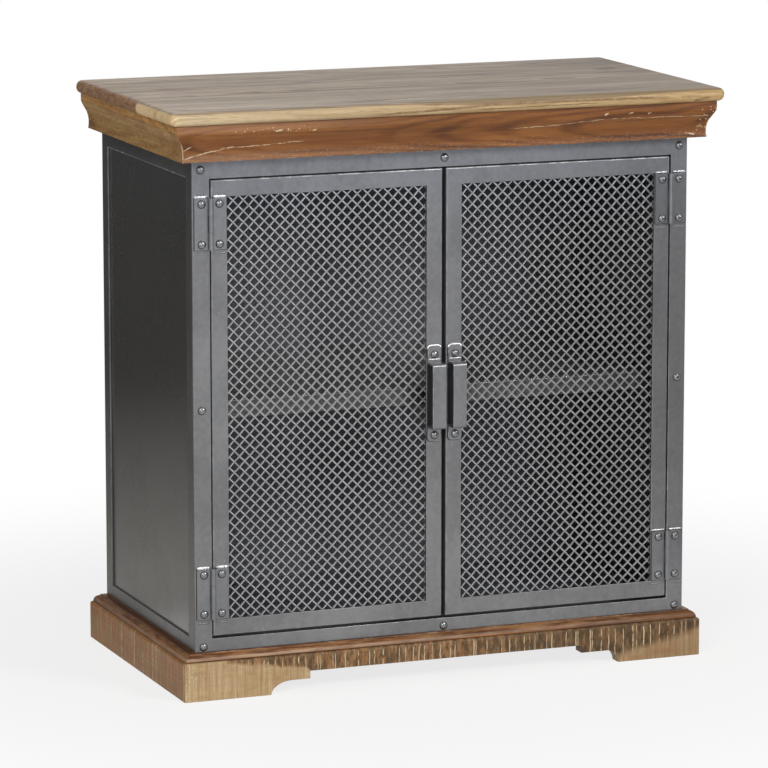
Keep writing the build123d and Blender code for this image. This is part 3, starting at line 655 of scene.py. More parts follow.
def plinth_front_marks(place, timber, wood, height):
    """Dark heartwood band with pale saw cuts along the front plinth board, and combed feet."""
    x, _, z = place.apart()
    saw = group(place.tree, saw_cuts, Vector=place, Density=92.0, Width=0.095, Keep=0.85)
    cuts, comb = saw["Cuts"], saw["Combing"]
    blotch = place.cloud((40.0, 40.0, 90.0), 3.0, 0.6)
    wood = wood.over(comb.ramp(0.48, 0.66, 0.0, 0.55), timber.fawn)
    wood = wood.over(comb.ramp(0.32, 0.48, 0.60, 0.0), timber.chalk)
    wood = wood.over(x.ramp(0.15, 0.34, 0.0, 0.50), timber.walnut)
    wood = wood.over(blotch.ramp(0.50, 0.70, 0.0, 0.35), timber.fawn)
    wood = wood.over(blotch.ramp(0.42, 0.62) * x.ramp(0.15, 0.34, 0.0, 0.25), timber.ember)
    dust = dents(place, 380.0, 0.45, 0.6, x.fall(-0.378, -0.350))
    wood = wood.over(dust * 0.45, (0.80, 0.68, 0.50))
    left = x.ramp(-0.318, -0.20, 0.049, 0.0325, "LINEAR") | x.ramp(-0.322, -0.308, 0.058, 0.0)
    left = left * x.ramp(-0.208, -0.192, 1.0, 0.72) * (x < 0.0)
    edge = left | x.ramp(0.235, 0.385, 0.004, 0.040, "LINEAR")
    soft = x.ramp(0.1, 0.3, 0.003, 0.008)
    heart = (z + (place.cloud(30.0) - 0.5) * 0.012 - edge).ramp(soft * -1.0, soft)
    mottle = place.cloud((170.0, 60.0, 60.0), 4.0, 0.7)
    dark = mottle.ramp(0.38, 0.68).mix(timber.smoke, timber.fawn)
    dark = dark.over(comb.ramp(0.44, 0.62, 0.0, 0.5), timber.bark)
    dark = dark.dyed(x.ramp(0.0, 0.14).mix((1.22, 1.26, 1.32), (0.72, 0.79, 0.86)))
    wood = wood.over(heart * 0.93, dark)
    wood = wood.over(cuts * (heart * 0.85 + 0.10) * z.fall(0.047, 0.052), timber.chalk)
    return wood, height - cuts * 1.2 + comb * 0.8


def plinth_side_marks(place, timber, wood, height):
    """Soft blotches, pale saw cuts and combing on the side and back plinth boards."""
    saw = group(place.tree, saw_cuts, Vector=place, Density=52.0, Width=0.17, Keep=0.45)
    cuts, comb = saw["Cuts"], saw["Combing"]
    blotch = place.cloud((30.0, 30.0, 45.0), 3.0, 0.6)
    wood = wood.over(blotch.ramp(0.46, 0.68, 0.0, 0.36), timber.ember)
    wood = wood.over(comb.ramp(0.30, 0.46, 0.55, 0.0), timber.sapwood)
    wood = wood.over(comb.ramp(0.52, 0.68, 0.0, 0.55), timber.smoke)
    wood = wood.dyed(blotch.fall(0.40, 0.58).mix((1.10, 0.91, 0.66), (1.00, 1.00, 0.72)))
    chips = place.cloud((160.0, 60.0, 120.0), 3.0, 0.6).ramp(0.40, 0.58, 0.15, 0.75)
    return wood.over(cuts * chips, timber.chalk), height - cuts + comb * 0.8


def moulding_marks(place, timber, wood, height):
    """The crest and the roll of the base moulding painted pale as painted highlights, and painted light that
    drifts from a lighter west end to a darker east end.
    """
    x, _, z = place.apart()
    # Painted light and shade: a lighter west end and a darker east end
    wood = drifting(place, wood, (1.24, 1.14, 0.98), (0.86, 0.80, 0.64))
    # Painted highlights on the crest and the roll, broken up by a cloud
    rubbed = place.cloud((30.0, 160.0, 160.0), 3.0, 0.6).ramp(0.35, 0.65)
    crest = z.band(0.0565, 0.0600, 0.0625, 0.0632) * x.ramp(0.26, 0.35, 1.0, 0.2)
    wood = wood.over(crest * rubbed * 0.55, (0.40, 0.22, 0.10))
    roll = z.band(0.0542, 0.0550, 0.0580, 0.0590) * x.ramp(-0.25, 0.34, 0.85, 0.08, "LINEAR")
    return wood.over(roll * (rubbed * 0.5 + 0.5), (0.45, 0.30, 0.195)), height


def moulding_side_marks(place, timber, wood, height):
    """The same painted highlights and painted light on the side mouldings, which are redder."""
    wood, height = moulding_marks(place, timber, wood, height)
    return wood.dyed((0.95, 0.90, 0.80)), height


def nose_marks(place, timber, wood, height):
    """Dark mineral streaks along the pale nose of the front board, and its browner top face, with painted
    light: a lighter west end, a drift along the board, and a thin line of painted shade where the nose turns
    into the top.
    """
    x, y, z = place.apart()
    wood = drifting(place, wood, (1.11, 1.20, 1.36), (0.90, 0.84, 0.69))
    # Painted light: a lighter west end of the nose
    wood = wood.dyed((1.48, 1.38, 1.22), x.fall(-0.398, -0.386))
    wood = wood.over(lines_over(place, NOSE_STREAKS, 0.35) * 0.80, timber.walnut)
    face = grain_of(place, (9.7, 3.9, 8.2), BROWN, rings=0.22, bow=(0.62, 0.03, 0.04), lean=-0.05)["Colour"]
    face = drifting(place, face, (1.06, 1.06, 1.06), (0.76, 0.71, 0.66))
    gold = y.fall(-0.208, -0.185) * x.ramp(-0.10, 0.04, 0.0, 0.75)
    face = face.over(gold, (0.265, 0.190, 0.100))
    rise = z + x.ramp(-0.08, 0.02, 0.0, 0.0036) * x.fall(0.20, 0.36)
    wood = wood.over(rise.ramp(0.7950, 0.7972), face)
    # Painted shade: a thin darker line where the nose turns into the top
    return wood.over(rise.band(0.7948, 0.7960, 0.7966, 0.7976) * 0.30, timber.walnut), height


def end_grain(place, timber, wood, height):
    """Brown boards with painted light and shade that drift darker to one side, and ends darkened by the oil
    they drink.
    """
    half = CAD_BOX[1][0]
    wood = drifting(place, wood, *TOP_PAINTED_LIGHT)
    out = abs(place.apart()[0]) + place.cloud(40.0) * 0.016
    streak = place.cloud((20.0, 75.0, 260.0)).ramp(0.30, 0.75)
    soaked = streak.mix((0.41, 0.235, 0.125), timber.russet)
    return wood.over(out.ramp(half - 0.006, half + 0.004, 0.0, 0.85), soaked), height


def put(name, data):
    """Add an object to the scene."""
    made = bpy.data.objects.new(name, data)
    bpy.context.scene.collection.objects.link(made)
    return made


def span(points):
    """The lowest and the highest corner of some points."""
    return [Vector(pick(point[i] for point in points) for i in range(3)) for pick in (min, max)]


def near(value, *levels):
    """Whether a value lies on one of some levels."""
    return min(abs(value - level) for level in levels) < SAME_PLANE


def cleaned(mesh):
    """A bmesh of a mesh, with its doubled points and its flat facets joined."""
    shape = bmesh.new()
    shape.from_mesh(mesh)
    bmesh.ops.remove_doubles(shape, verts=shape.verts, dist=SAME_SPOT)
    bmesh.ops.dissolve_limit(shape, angle_limit=FLAT_ANGLE, verts=shape.verts, edges=shape.edges)
    return shape


def welded(nodes):
    """A bmesh of the named nodes, joined where they touch as a welder joins them."""
    first, *others = nodes
    work = put("weld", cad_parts[first].data.copy())
    for name in others:
        join = work.modifiers.new(name, "BOOLEAN")
        join.operation, join.solver, join.object = "UNION", "EXACT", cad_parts[name]
    mesh = bpy.data.meshes.new_from_object(work.evaluated_get(bpy.context.evaluated_depsgraph_get()))
    bpy.data.objects.remove(work)
    shape = cleaned(mesh)
    bpy.data.meshes.remove(mesh)
    return parted(shape)


def reached(start, neighbours):
    """All things that can be reached from one, from neighbour to neighbour."""
    found, stack = {start}, [start]
    while stack:
        fresh = set(neighbours(stack.pop())) - found
        found |= fresh
        stack += fresh
    return found


def parted(shape):
    """A bmesh parted where two flanges touch along a line alone, so that each keeps its own edge there."""
    spots, number = [], {}

    def beside(face):
        joins = [e for e in face.edges if vert in e.verts and e.is_manifold]
        return [other for e in joins for other in e.link_faces]

    for vert in shape.verts:
        for face in vert.link_faces:
            if (vert, face) not in number:
                number.update(((vert, other), len(spots)) for other in reached(face, beside))
                spots.append(vert.co.copy())
    rows = [[number[vert, face] for vert in face.verts] for face in shape.faces]
    shape.free()
    made = bmesh.new()
    verts = [made.verts.new(spot) for spot in spots]
    for row in rows:
        made.faces.new([verts[i] for i in row])
    made.normal_update()
    return made


def sharp_edges(shape):
    """Outward edges that turn sharply."""
    return [e for e in shape.edges if e.is_manifold and e.calc_face_angle_signed() > SHARP_ANGLE]


def round_edges(shape, edges, radius, segments, wear=1.0):
    """Round edges, and mark how worn the new faces are: one share, or one for each face's middle."""
    if not edges:
        return
    worn = shape.faces.layers.float.get("worn_edge") or shape.faces.layers.float.new("worn_edge")
    settings = {"offset_type": "OFFSET", "profile": 0.5, "affect": "EDGES", "clamp_overlap": True}
    made = bmesh.ops.bevel(shape, geom=edges, offset=radius, segments=segments, **settings)
    for face in made["faces"]:
        face[worn] = wear(face.calc_center_median()) if callable(wear) else wear


def add_piece(name, shape, material, body, nodes=()):
    """Turn a shape into a smooth-shaded piece that rides on a body and stands for its nodes."""
    mesh = bpy.data.meshes.new(name)
    if isinstance(shape, bmesh.types.BMesh):
        bmesh.ops.recalc_face_normals(shape, faces=shape.faces)
        shape.to_mesh(mesh)
        shape.free()
    else:
        mesh.from_pydata(*shape)
    mesh.shade_smooth()
    mesh.set_sharp_from_angle(angle=CREASE_ANGLE)
    mesh.materials.append(material)
    piece = put(name, mesh)
    piece.modifiers.new("flat faces", "WEIGHTED_NORMAL").keep_sharp = True
    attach(piece, body)
    if nodes:
        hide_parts(*nodes)


def dressed(name, word, material, radius, body="cabinet"):
    """A piece with the outline of one node and rounded edges, named after the node and a word."""
    shape = cleaned(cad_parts[name].data)
    round_edges(shape, sharp_edges(shape), radius, 2)
    bmesh.ops.remove_doubles(shape, verts=shape.verts, dist=SAME_SPOT)
    add_piece(f"{name}_{word}", shape, material, body, [name])


def welded_frame(name, nodes, body, on_heel, wear):
    """A welded frame of angle iron: on_heel picks the edges to round, and wear says how worn they are."""
    steel = bpy.context.scene.cabinet_steel
    shape = welded(nodes)
    low, high = span([v.co for v in shape.verts])
    heels = [e for e in sharp_edges(shape) if all(on_heel(v.co, low, high) for v in e.verts)]
    round_edges(shape, heels, steel.heel_radius, 4, lambda at: wear(at, high))
    round_edges(shape, sharp_edges(shape), steel.edge_radius, 2, 0.6)
    add_piece(name, shape, steel_finish("gunmetal_frame"), body, nodes)


def islands(name):
    """The lowest and highest corner of each separate solid in a node."""
    shape = cleaned(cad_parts[name].data)
    seen, found = set(), []
    for vert in shape.verts:
        if vert not in seen:
            members = reached(vert, lambda here: [e.other_vert(here) for e in here.link_edges])
            found.append(span([member.co for member in members]))
            seen |= members
    shape.free()
    return found


def tube(points, radius, sides, across, swell=None):
    """Rings of a round rod along points; across is a vector that stays square to the path."""
    points, across = np.asarray(points, float), np.asarray(across, float)
    heading = np.gradient(points, axis=0)
    heading /= np.linalg.norm(heading, axis=1)[:, None]
    side = across[None, :] - (heading @ across)[:, None] * heading
    side /= np.linalg.norm(side, axis=1)[:, None]
    up = np.cross(heading, side)
    turn = np.arange(sides) * 2 * math.pi / sides
    girth = radius * (np.ones(len(points)) if swell is None else np.asarray(swell))
    ring = np.cos(turn)[None, :, None] * side[:, None] + np.sin(turn)[None, :, None] * up[:, None]
    return (points[:, None] + girth[:, None, None] * ring).reshape(-1, 3)


def tube_faces(rings, sides, start=0):
    """Faces of a rod with closed ends."""
    first = start + np.arange(rings - 1)[:, None] * sides
    base, step = first + np.arange(sides)[None, :], first + (np.arange(sides)[None, :] + 1) % sides
    quads = np.stack((base, step, step + sides, base + sides), axis=-1).reshape(-1, 4).tolist()
    foot = list(range(start + sides - 1, start - 1, -1))
    head = list(range(start + (rings - 1) * sides, start + rings * sides))
    return quads + [foot, head]


def woven_wires(low, high, settings):
    """Points and faces of crimped wires woven at 45 degrees, inside the box of the mesh node."""
    middle = (low + high) / 2
    half_x, half_z = (high.x - low.x) / 2, (high.z - low.z) / 2
    radius, root, pitch = settings.wire / 2, math.sqrt(2), settings.pitch
    verts, faces, start = [], [], 0
    count = int((half_x + half_z) / root / pitch)
    for rising in (1, -1):
        for number in range(-count, count + 1):
            offset = number * pitch
            begin = max(offset - half_x * root, -offset - half_z * root)
            end = min(offset + half_x * root, -offset + half_z * root)
            if end - begin < 2 * settings.wire:
                continue
            rings = max(3, int((end - begin) / pitch * settings.steps) + 1)
            along = np.linspace(begin, end, rings)
            sway = rising * (-1) ** number * settings.crimp * radius * np.cos(math.pi * along / pitch)
            x = middle.x + (along - offset) / root
            z = middle.z + rising * (along + offset) / root
            points = np.stack((x, middle.y + sway, z), axis=1)
            verts.append(tube(points, radius, settings.sides, (-1.0, 0.0, float(rising))))
            faces += tube_faces(rings, settings.sides, start)
            start += rings * settings.sides
    return np.concatenate(verts).tolist(), [], faces


def circle(x, z, radius, turns=24):
    """Points (x, z) round a circle."""
    angles = [2 * math.pi * step / turns for step in range(turns)]
    return [(x + radius * math.cos(a), z + radius * math.sin(a)) for a in angles]


def dome(x, seat, z, radius, height):
    """A rivet head on the plane y = seat: a low skirt, then a round dome with its crest to the front."""
    skirt = 0.12
    outline = [(1.0, -0.05), (1.0, skirt)]
    outline += [(math.cos(a), skirt + (1 - skirt) * math.sin(a)) for a in np.linspace(0.12, 1.45, 8)]
    rings = [(circle(x, z, radius * out), seat - height * rise) for out, rise in outline]
    verts = [(px, y, pz) for ring, y in rings for px, pz in ring]
    return verts, tube_faces(len(rings), len(rings[0][0]))


def bead(points, radius, seed, sides=10):
    """A weld bead: a rod along points that swells with each stitch of the weld."""
    points = [Vector(p) for p in points]
    path = [points[0]]
    for a, b in zip(points, points[1:]):
        steps = max(2, int((b - a).length / STITCH))
        path += [a.lerp(b, (i + 1) / steps) for i in range(steps)]
    swell = []
    for i, point in enumerate(path):
        ends = min(1.0, 0.45 + 0.55 * min(i, len(path) - 1 - i) / 3.0)
        lumps = noise.noise(point * 260.0 + Vector((seed, 0.0, 0.0)))
        swell.append(ends * (1.0 + 0.10 * math.sin(i * 0.9 + seed) + 0.22 * lumps))
    verts = tube([tuple(p) for p in path], radius, sides, (0.0, 1.0, 0.0), swell)
    return verts.tolist(), tube_faces(len(path), sides)


def pooled_edge(outline, seat, width):
    """A strip of painted shade round a closed outline of (x, z) on the plane y = seat: a low fillet of
    near-black lacquer that stands in for the shadow along the outline.
    """
    points = np.asarray(outline, float)
    ahead = np.roll(points, -1, axis=0) - points
    ahead /= np.linalg.norm(ahead, axis=1)[:, None]
    out = np.stack((ahead[:, 1], -ahead[:, 0]), axis=1)
    out = out + np.roll(out, 1, axis=0)
    out /= (np.linalg.norm(out, axis=1) ** 2 / 2)[:, None]
    inner, outer, count = points - 0.3 * width * out, points + width * out, len(points)
    rings = ((inner, -0.6), (outer, -0.08), (outer, 0.2), (inner, 0.2))
    verts = [(x, seat + rise * width, z) for ring, rise in rings for x, z in ring]
    faces = []
    for ring in range(4):
        for step in range(count):
            a, b = ring * count + step, ring * count + (step + 1) % count
            faces.append((a, b, (b + count) % (4 * count), (a + count) % (4 * count)))
    return verts, faces


def joined(parts):
    """Several (verts, faces) as one mesh's points, edges and faces."""
    verts, faces = [], []
    for some_verts, some_faces in parts:
        start = len(verts)
        verts += [tuple(v) for v in some_verts]
        faces += [tuple(i + start for i in face) for face in some_faces]
    return verts, [], faces


class CABINET_OT_stage(bpy.types.Operator):
    """Set up the camera, the soft boxes, the white room and the floor"""

    bl_idname = "cabinet.stage"
    bl_label = "Stage"

    def execute(self, context):
        stage = context.scene.cabinet_stage
        context.scene.view_settings.view_transform = "Standard"
        camera = put("camera", bpy.data.cameras.new("camera"))
        camera.data.sensor_width, camera.data.lens, camera.data.clip_end = 36.0, stage.lens, 100.0
        camera.location, camera.rotation_euler = stage.camera_place, stage.camera_turn
        context.scene.camera = camera
        aim = Vector((0.0, 0.0, 0.42))
        for name, energy, place, size in (
            ("left_soft_box", stage.left_lamp, (-2.6, -3.3, 2.4), 1.1),
            ("right_soft_box", stage.right_lamp, (2.0, -3.4, 2.4), 1.1),
            ("front_soft_box", stage.front_fill, (-0.8, -5.2, 0.9), 1.5),
        ):
            lamp = put(name, bpy.data.lights.new(name, "AREA"))
            lamp.data.energy, lamp.data.shape, lamp.data.size = energy, "SQUARE", size
            lamp.location = place
            lamp.rotation_euler = (aim - Vector(place)).to_track_quat("-Z", "Y").to_euler()
        self.white_room(context, stage)
        self.floor(stage)
        self.card("left_card", (-2.6, -0.30), (0.30, 0.002), (1.50, 1.50), (0.50, 0.06))
        self.card("right_card", (0.52, 2.2), (-0.85, 0.0), (-0.85, 1.6), (0.0, 0.0))
        self.card("spark_card", (0.81, 1.09), (-0.80, 0.71), (-0.80, 0.99), (1.0, 1.0), 10.5)
        return {"FINISHED"}

    @staticmethod
    def card(name, across, foot, head, glows, strength=1.0):
        """A card that shows in reflections alone; foot and head are (y, z), each with its own glow."""
        west, east = across
        corners = [(west, *foot), (east, *foot), (east, *head), (west, *head)]
        mesh = bpy.data.meshes.new(name)
        mesh.from_pydata(corners, [], [(0, 1, 2, 3)])
        settings = {"Base_Color": (0.02, 0.02, 0.02), "Roughness": 0.9, "Emission_Strength": strength}
        made, tree, shader = new_material(name, **settings)
        rise = coordinates(tree).apart()[2].ramp(0.05, 0.30, kind="LINEAR")
        tones = [(glow, 0.97 * glow, 0.92 * glow) for glow in glows]
        link(tree, rise.mix(*tones), shader.inputs["Emission Color"])
        mesh.materials.append(made)
        card = put(name, mesh)
        for ray in ("camera", "diffuse", "transmission", "volume_scatter", "shadow"):
            setattr(card, f"visible_{ray}", False)

    @staticmethod
    def seen(tree):
        """One where the camera, a reflection or glass sees the backdrop."""
        path = node(tree, "ShaderNodeLightPath").outputs
        rays = [Flow(tree, path[f"Is {ray} Ray"]) for ray in ("Camera", "Glossy", "Transmission")]
        return reduce(Flow.__or__, rays)

    def white_room(self, context, stage):
        """A white world that lights the object softly."""
        world = context.scene.world = bpy.data.worlds.new("white_room")
        tree, surface = emptied(world, "World")
        strength = self.seen(tree).ramp(0.0, 1.0, stage.ambient, 1.0, "LINEAR")
        link(tree, flow(tree, "ShaderNodeBackground", Color=WHITE, Strength=strength), surface)

    def floor(self, stage):
        """A pale round floor that keeps the shadow and runs out into white."""
        shape = bmesh.new()
        bmesh.ops.create_circle(shape, cap_ends=True, radius=14.0, segments=96)
        mesh = bpy.data.meshes.new("floor")
        shape.to_mesh(mesh)
        shape.free()
        floor = put("floor", mesh)
        made = bpy.data.materials.new("pale_floor")
        tree, surface = emptied(made)
        far = flow(tree, "ShaderNodeVectorMath", "Value", {"operation": "LENGTH"}, i0=coordinates(tree))
        white = self.seen(tree) * far.ramp(0.45, 1.3, 0.78, 1.0)
        matt = flow(tree, "ShaderNodeBsdfDiffuse", Color=stage.floor)
        glow = flow(tree, "ShaderNodeEmission", Color=WHITE, Strength=1.0)
        link(tree, flow(tree, "ShaderNodeMixShader", i0=white, i1=matt, i2=glow), surface)
        mesh.materials.append(made)


class CABINET_OT_carcass(bpy.types.Operator):
    """Build the welded angle-iron frame of the carcass"""

    bl_idname = "cabinet.carcass"
    bl_label = "Carcass frame"

    def execute(self, context):
        nodes = [f"corner_post_{end}_{side}" for end in ("front", "rear") for side in SIDES]
        walls = ("front", "rear", *SIDES)
        nodes += [f"{wall}_{level}_rail" for wall in walls for level in ("top", "bottom")]
        welded_frame("carcass_frame", nodes, "cabinet", self.on_corner, lambda at, high: 0.0)
        return {"FINISHED"}

    @staticmethod
    def on_corner(at, low, high):
        """Whether a point lies on one of the four upright outer corners."""
        return near(at.x, low.x, high.x) and near(at.y, low.y, high.y)


class CABINET_OT_sheets(bpy.types.Operator):
    """Build the sheet panels, the shelf with its bearers, and the catch"""

    bl_idname = "cabinet.sheets"
    bl_label = "Sheets and shelf"

    def execute(self, context):
        steel = context.scene.cabinet_steel
        thin = 0.5 * steel.edge_radius
        for name, finish in (
            ("left_side_panel", "gunmetal_sheet"),
            ("right_side_panel", "gunmetal_sheet"),
            ("shelf", "gunmetal_shelf"),
            ("shelf_bearers", "gunmetal_sheet"),
            ("catch_bracket", "gunmetal_sheet"),
            ("back_panel", "dark_sheet"),
            ("floor_panel", "dark_sheet"),
            ("top_panel", "dark_sheet"),
        ):
            dressed(name, "lacquered", steel_finish(finish), thin)
        # Painted shade: a near-black strip round each side panel's opening stands in for the shadow where the
        # panel lies behind the frame
        pooled = steel_finish("pooled_lacquer")
        for side, sign in SIDES.items():
            low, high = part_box(f"{side}_bottom_rail")[1].z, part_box(f"{side}_top_rail")[0].z
            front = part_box(f"corner_post_front_{side}")[1].y
            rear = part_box(f"corner_post_rear_{side}")[0].y
            outside = max(abs(corner.x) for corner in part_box(f"{side}_side_panel"))
            outline = [(front, high), (rear, high), (rear, low), (front, low)]
            verts, faces = pooled_edge(outline, -outside, 1.5 * steel.pool_width)
            seam = joined([([(-sign * y, x, z) for x, y, z in verts], faces)])
            add_piece(f"{side}_side_panel_pools", seam, pooled, "cabinet")
        dressed("catch_magnets", "plated", steel_finish("turned_steel"), thin)
        return {"FINISHED"}


class CABINET_OT_doors(bpy.types.Operator):
    """Build the welded angle-iron frame of each door"""

    bl_idname = "cabinet.doors"
    bl_label = "Door frames"

    def execute(self, context):
        parts = ("hinge_stile", "top_rail", "meeting_stile", "bottom_rail")
        for side in SIDES:
            nodes = [f"{side}_door_{part}" for part in parts]
            welded_frame(f"{side}_door_frame", nodes, f"{side}_door", self.on_rim, self.wear)
        return {"FINISHED"}

    @staticmethod
    def on_rim(at, low, high):
        """Whether a point lies on the rim round the front of the door."""
        return near(at.y, low.y) and (near(at.x, low.x, high.x) or near(at.z, low.z, high.z))

    @staticmethod
    def wear(at, high):
        """The upper edge is worn, and the others a little."""
        return 1.0 if at.z > high.z - WORN_REACH else 0.3


class CABINET_OT_mesh(bpy.types.Operator):
    """Weave the crimped wire mesh of each door"""

    bl_idname = "cabinet.mesh"
    bl_label = "Wire mesh"

    def execute(self, context):
        finish = steel_finish("gunmetal_wire")
        for side in SIDES:
            name = f"{side}_door_mesh"
            wires = woven_wires(*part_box(name), context.scene.cabinet_mesh)
            add_piece(f"{name}_woven", wires, finish, f"{side}_door", [name])
        return {"FINISHED"}


class CABINET_OT_hinges(bpy.types.Operator):
    """Build the hinge leaves, pins, the weld beads at the ends of the leaves and the painted shade round the
    leaves
    """

    bl_idname = "cabinet.hinges"
    bl_label = "Hinges"

    def execute(self, context):
        steel = context.scene.cabinet_steel
        fitting = steel_finish("gunmetal_fittings")
        seat, thin = FACE_Y - 0.25 * steel.weld_radius, 0.45 * steel.weld_radius
        for side, sign in SIDES.items():
            thick = steel.weld_radius * (1.0 if sign < 0 else 0.55)
            for part, body, outward in (("frame", "cabinet", sign), ("door", f"{side}_door", -sign)):
                name = f"{side}_hinge_{part}_leaves"
                dressed(name, "lacquered", fitting, steel.edge_radius, body)
                beads = {"welds": [], "runs": [], "pools": []}
                for number, (low, high) in enumerate(islands(name)):
                    near_x, far_x = (low.x, high.x) if outward > 0 else (high.x, low.x)
                    near_x += outward * KNUCKLE_REACH
                    path = [(x, seat, high.z + WELD_LIFT) for x in (near_x, far_x)]
                    beads["welds"].append(bead(path, thick, 3.1 * number + sign))
                    path = [(x, FACE_Y, low.z - RUN_DROP) for x in (near_x, far_x)]
                    beads["runs"].append(bead(path, thin, 1.7 * number + sign))
                    west, east = sorted((near_x, far_x))
                    corners = [(west, low.z), (east, low.z), (east, high.z), (west, high.z)]
                    # Painted shade: a near-black outline round each leaf stands in for its shadow on the steel
                    beads["pools"].append(pooled_edge(corners, FACE_Y, steel.pool_width))
                # The bright steel of the weld beads also stands in for their highlights
                finishes = {"welds": steel_finish("bright_weld"), "runs": fitting}
                finishes["pools"] = steel_finish("pooled_lacquer")
                for key, shapes in beads.items():
                    piece = f"{side}_hinge_{part}_{key}"
                    add_piece(piece, joined(shapes), finishes[key], body)
            pins = steel_finish("turned_steel")
            dressed(f"{side}_hinge_pins", "turned", pins, 0.5 * steel.edge_radius)
        return {"FINISHED"}


class CABINET_OT_handles(bpy.types.Operator):
    """Build the folded strip handles, the bright beads round their upper tabs and along their bends, the
    painted shade round both tabs and the painted shadow behind each grip
    """

    bl_idname = "cabinet.handles"
    bl_label = "Handles"

    def execute(self, context):
        steel = context.scene.cabinet_steel
        weld, fitting = 0.6 * steel.weld_radius, steel_finish("gunmetal_fittings")
        for side in SIDES:
            name, body = f"{side}_handle", f"{side}_door"
            dressed(name, "folded", fitting, steel.edge_radius, body)
            low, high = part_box(name)
            upper = self.tab(low.x, high.x, high.z, -UPPER_TAB)
            lower = self.tab(low.x, high.x, low.z, LOWER_TAB)
            ends = (low.x + BEND_INSET, high.x - BEND_INSET)
            # Painted highlight: a bright bead along the bend below the upper tab
            bend = [(x, FACE_Y - STRIP_FACE, high.z - BEND_DROP) for x in ends]
            welds = [
                bead([(x, FACE_Y - 0.9 * weld, z) for x, z in upper[1:-1]], weld, 2.0),
                bead(bend, 0.6 * weld, 5.0),
            ]
            # Painted shade round both tabs, and the painted shadow behind the grip
            pools = [pooled_edge(outline, FACE_Y, steel.pool_width) for outline in (upper[::-1], lower)]
            pools.append(self.film(low, high))
            add_piece(f"{name}_welds", joined(welds), steel_finish("bright_weld"), body)
            add_piece(f"{name}_pools", joined(pools), steel_finish("pooled_lacquer"), body)
        return {"FINISHED"}

    @staticmethod
    def film(low, high):
        """Painted shadow of the grip on the stile behind it: a thin dark sheet as wide as the grip."""
        foot, head = low.z + GRIP_FOOT, high.z - GRIP_HEAD
        corners = [(low.x, foot), (high.x, foot), (high.x, head), (low.x, head)]
        verts = [(x, FACE_Y + depth, z) for depth in GRIP_SHADOW_DEPTHS for x, z in corners]
        rim = [(i, i + 4, (i + 1) % 4 + 4, (i + 1) % 4) for i in range(4)]
        return verts, [(0, 1, 2, 3), (7, 6, 5, 4)] + rim

    @staticmethod
    def tab(west, east, end, back):
        """The outline of a tab from its west side round its rounded end to its east side."""
        way = 1.0 if back < 0 else -1.0
        points = [(west, end + back)]
        for middle, first in ((west + TAB_CORNER, math.pi), (east - TAB_CORNER, math.pi / 2)):
            for step in range(7):
                a = first - math.pi / 2 * step / 6
                level = end - way * TAB_CORNER * (1 - math.sin(a))
                points.append((middle + TAB_CORNER * math.cos(a), level))
        return points + [(east, end + back)]


class CABINET_OT_rivets(bpy.types.Operator):
    """Set smooth domed heads on every rivet, with a ring of painted shade round each head"""

    bl_idname = "cabinet.rivets"
    bl_label = "Rivets"

    def execute(self, context):
        width = context.scene.cabinet_steel.pool_width
        glossy, pooled = steel_finish("glossy_lacquer"), steel_finish("pooled_lacquer")
        bodies = {"frame": "cabinet", "left_door": "left_door", "right_door": "right_door"}
        for part, body in bodies.items():
            name = f"{part}_rivets"
            heads, pools = [], []
            for low, high in islands(name):
                middle, radius = (low + high) / 2, (high.x - low.x) / 2
                heads.append(dome(middle.x, high.y, middle.z, radius, DOME_RISE * (high.y - low.y)))
                # Painted shade: a near-black ring round each head stands in for its contact shadow
                pools.append(pooled_edge(circle(middle.x, middle.z, radius), high.y, width))
            add_piece(f"{name}_domed", joined(heads), glossy, body, [name])
            add_piece(f"{name}_pools", joined(pools), pooled, body)
        return {"FINISHED"}


class CABINET_OT_top(bpy.types.Operator):
    """Build the boards of the top"""

    bl_idname = "cabinet.top"
    bl_label = "Top boards"

    def execute(self, context):
        arris = 0.3 * context.scene.cabinet_timber.arris
        for part, seed, tones, rings, lean, marks in (
            ("front", (0.3, 0.7, 0.1), PALE, 0.14, -0.10, nose_marks),
            ("second", (4.1, 2.3, 1.7), BROWN, 0.22, -0.05, end_grain),
            ("third", (7.9, 5.2, 3.3), BROWN, 0.24, -0.01, end_grain),
            ("rear", (12.4, 8.8, 6.1), BROWN, 0.22, -0.03, end_grain),
        ):
            name = f"top_board_{part}"
            low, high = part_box(name)
            grain = {"rings": rings, "bow": (high.z + 0.5 * (low.y + high.y), 0.03, 0.04), "lean": lean}
            finish = timber_finish(f"oiled_board_{part}", "X", seed, tones, marks, **grain)
            dressed(name, "oiled", finish, arris)
        return {"FINISHED"}


class CABINET_OT_cornice(bpy.types.Operator):
    """Build the ogee cornice and its back rail"""

    bl_idname = "cabinet.cornice"
    bl_label = "Cornice"

    def execute(self, context):
        arris = context.scene.cabinet_timber.arris
        red, tan = ("ember", "russet", "bark"), ("olive", "fawn", "smoke")
        grain = {"rings": 0.20, "figure": 0.9, "bow": (0.552, 0.012, 0.06), "fibre": 0.28, "lean": -0.06}
        front = timber_finish("oiled_cornice_front", "X", (2.2, 0.4, 5.0), red, cornice_marks, **grain)
        dressed("cornice_front", "oiled", front, arris)
        for side, sign in SIDES.items():
            name = f"cornice_{side}"
            grain = {"rings": 0.16, "bow": (0.755 + 0.39 * sign, 0.03, 0.05), "fibre": 0.32, "lean": -0.13}
            sides = timber_finish(f"oiled_{name}", "Y", (3.0, sign, 9.0), tan, cornice_side_marks, **grain)
            dressed(name, "oiled", sides, arris)
        dressed("cornice_back_rail", "sawn", bare_softwood(), arris)
        return {"FINISHED"}


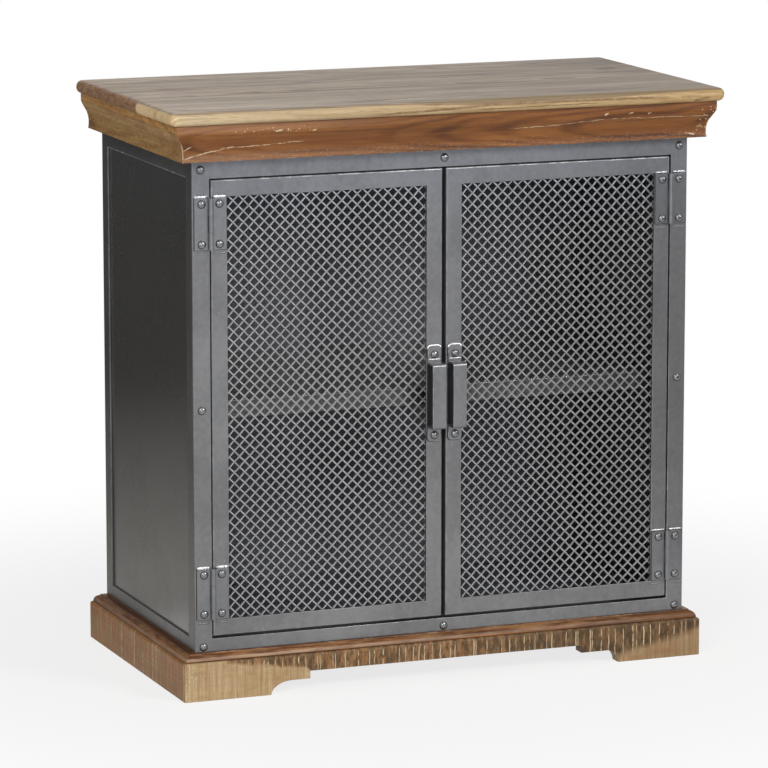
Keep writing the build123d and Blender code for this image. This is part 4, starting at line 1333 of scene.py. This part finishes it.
class CABINET_OT_plinth(bpy.types.Operator):
    """Build the plinth boards, the base moulding and the glue blocks"""

    bl_idname = "cabinet.plinth"
    bl_label = "Plinth and base moulding"

    def execute(self, context):
        arris = context.scene.cabinet_timber.arris
        grain = {"coat": 0.0, "rings": 0.0, "fibre": 0.12, "lean": 0.06}
        sides = ("fawn", "fawn", "smoke"), plinth_side_marks
        for part, along, seed, tones, marks in (
            ("front", "X", (6.6, 1.1, 4.0), PALE, plinth_front_marks),
            ("left", "Y", (1.5, 3.0, 7.0), *sides),
            ("right", "Y", (8.5, 4.0, 2.0), *sides),
            ("back", "X", (5.5, 9.0, 1.0), *sides),
        ):
            finish = timber_finish(f"sawn_plinth_{part}", along, seed, tones, marks, **grain)
            dressed(f"plinth_{part}", "sawn", finish, arris)
        tones = ("fawn", "ember", "bark")
        grain = {"rings": 0.12, "figure": 0.5, "fibre": 0.44}
        for part, along in (("front", "X"), ("back", "X"), ("left", "Y"), ("right", "Y")):
            marks = moulding_marks if along == "X" else moulding_side_marks
            seed = (9.0, len(part), 3.0)
            finish = timber_finish(f"oiled_moulding_{part}", along, seed, tones, marks, **grain)
            dressed(f"base_moulding_{part}", "oiled", finish, arris)
        dressed("plinth_corner_blocks", "sawn", bare_softwood(), arris)
        return {"FINISHED"}


STEPS = (
    CABINET_OT_stage,
    CABINET_OT_carcass,
    CABINET_OT_sheets,
    CABINET_OT_doors,
    CABINET_OT_mesh,
    CABINET_OT_hinges,
    CABINET_OT_handles,
    CABINET_OT_rivets,
    CABINET_OT_top,
    CABINET_OT_cornice,
    CABINET_OT_plinth,
)


class CABINET_PT_panel(bpy.types.Panel):
    """Lists the steps that dress the cabinet"""

    bl_idname = "CABINET_PT_panel"
    bl_label = "Wire door cabinet"
    bl_space_type = "VIEW_3D"
    bl_region_type = "UI"
    bl_category = "Cabinet"

    def draw(self, context):
        for step in STEPS:
            self.layout.operator(step.bl_idname)
        for name in SETTINGS:
            settings = getattr(context.scene, name)
            box = self.layout.box()
            for key in settings.__annotations__:
                box.prop(settings, key)


SETTINGS = {
    "cabinet_steel": CabinetSteel,
    "cabinet_mesh": CabinetMesh,
    "cabinet_timber": CabinetTimber,
    "cabinet_stage": CabinetStage,
}


def register():
    """Add the settings, the operators and the panel."""
    for kind in (*SETTINGS.values(), *STEPS, CABINET_PT_panel):
        bpy.utils.register_class(kind)
    for name, kind in SETTINGS.items():
        setattr(bpy.types.Scene, name, PointerProperty(type=kind))


def unregister():
    """Take the panel, the operators and the settings away again."""
    for name in SETTINGS:
        delattr(bpy.types.Scene, name)
    for kind in reversed((*SETTINGS.values(), *STEPS, CABINET_PT_panel)):
        bpy.utils.unregister_class(kind)


def main():
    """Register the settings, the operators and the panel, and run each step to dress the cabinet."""
    register()
    for step in STEPS:
        area, name = step.bl_idname.split(".")
        getattr(getattr(bpy.ops, area), name)()


if __name__ == "__main__":
    main()
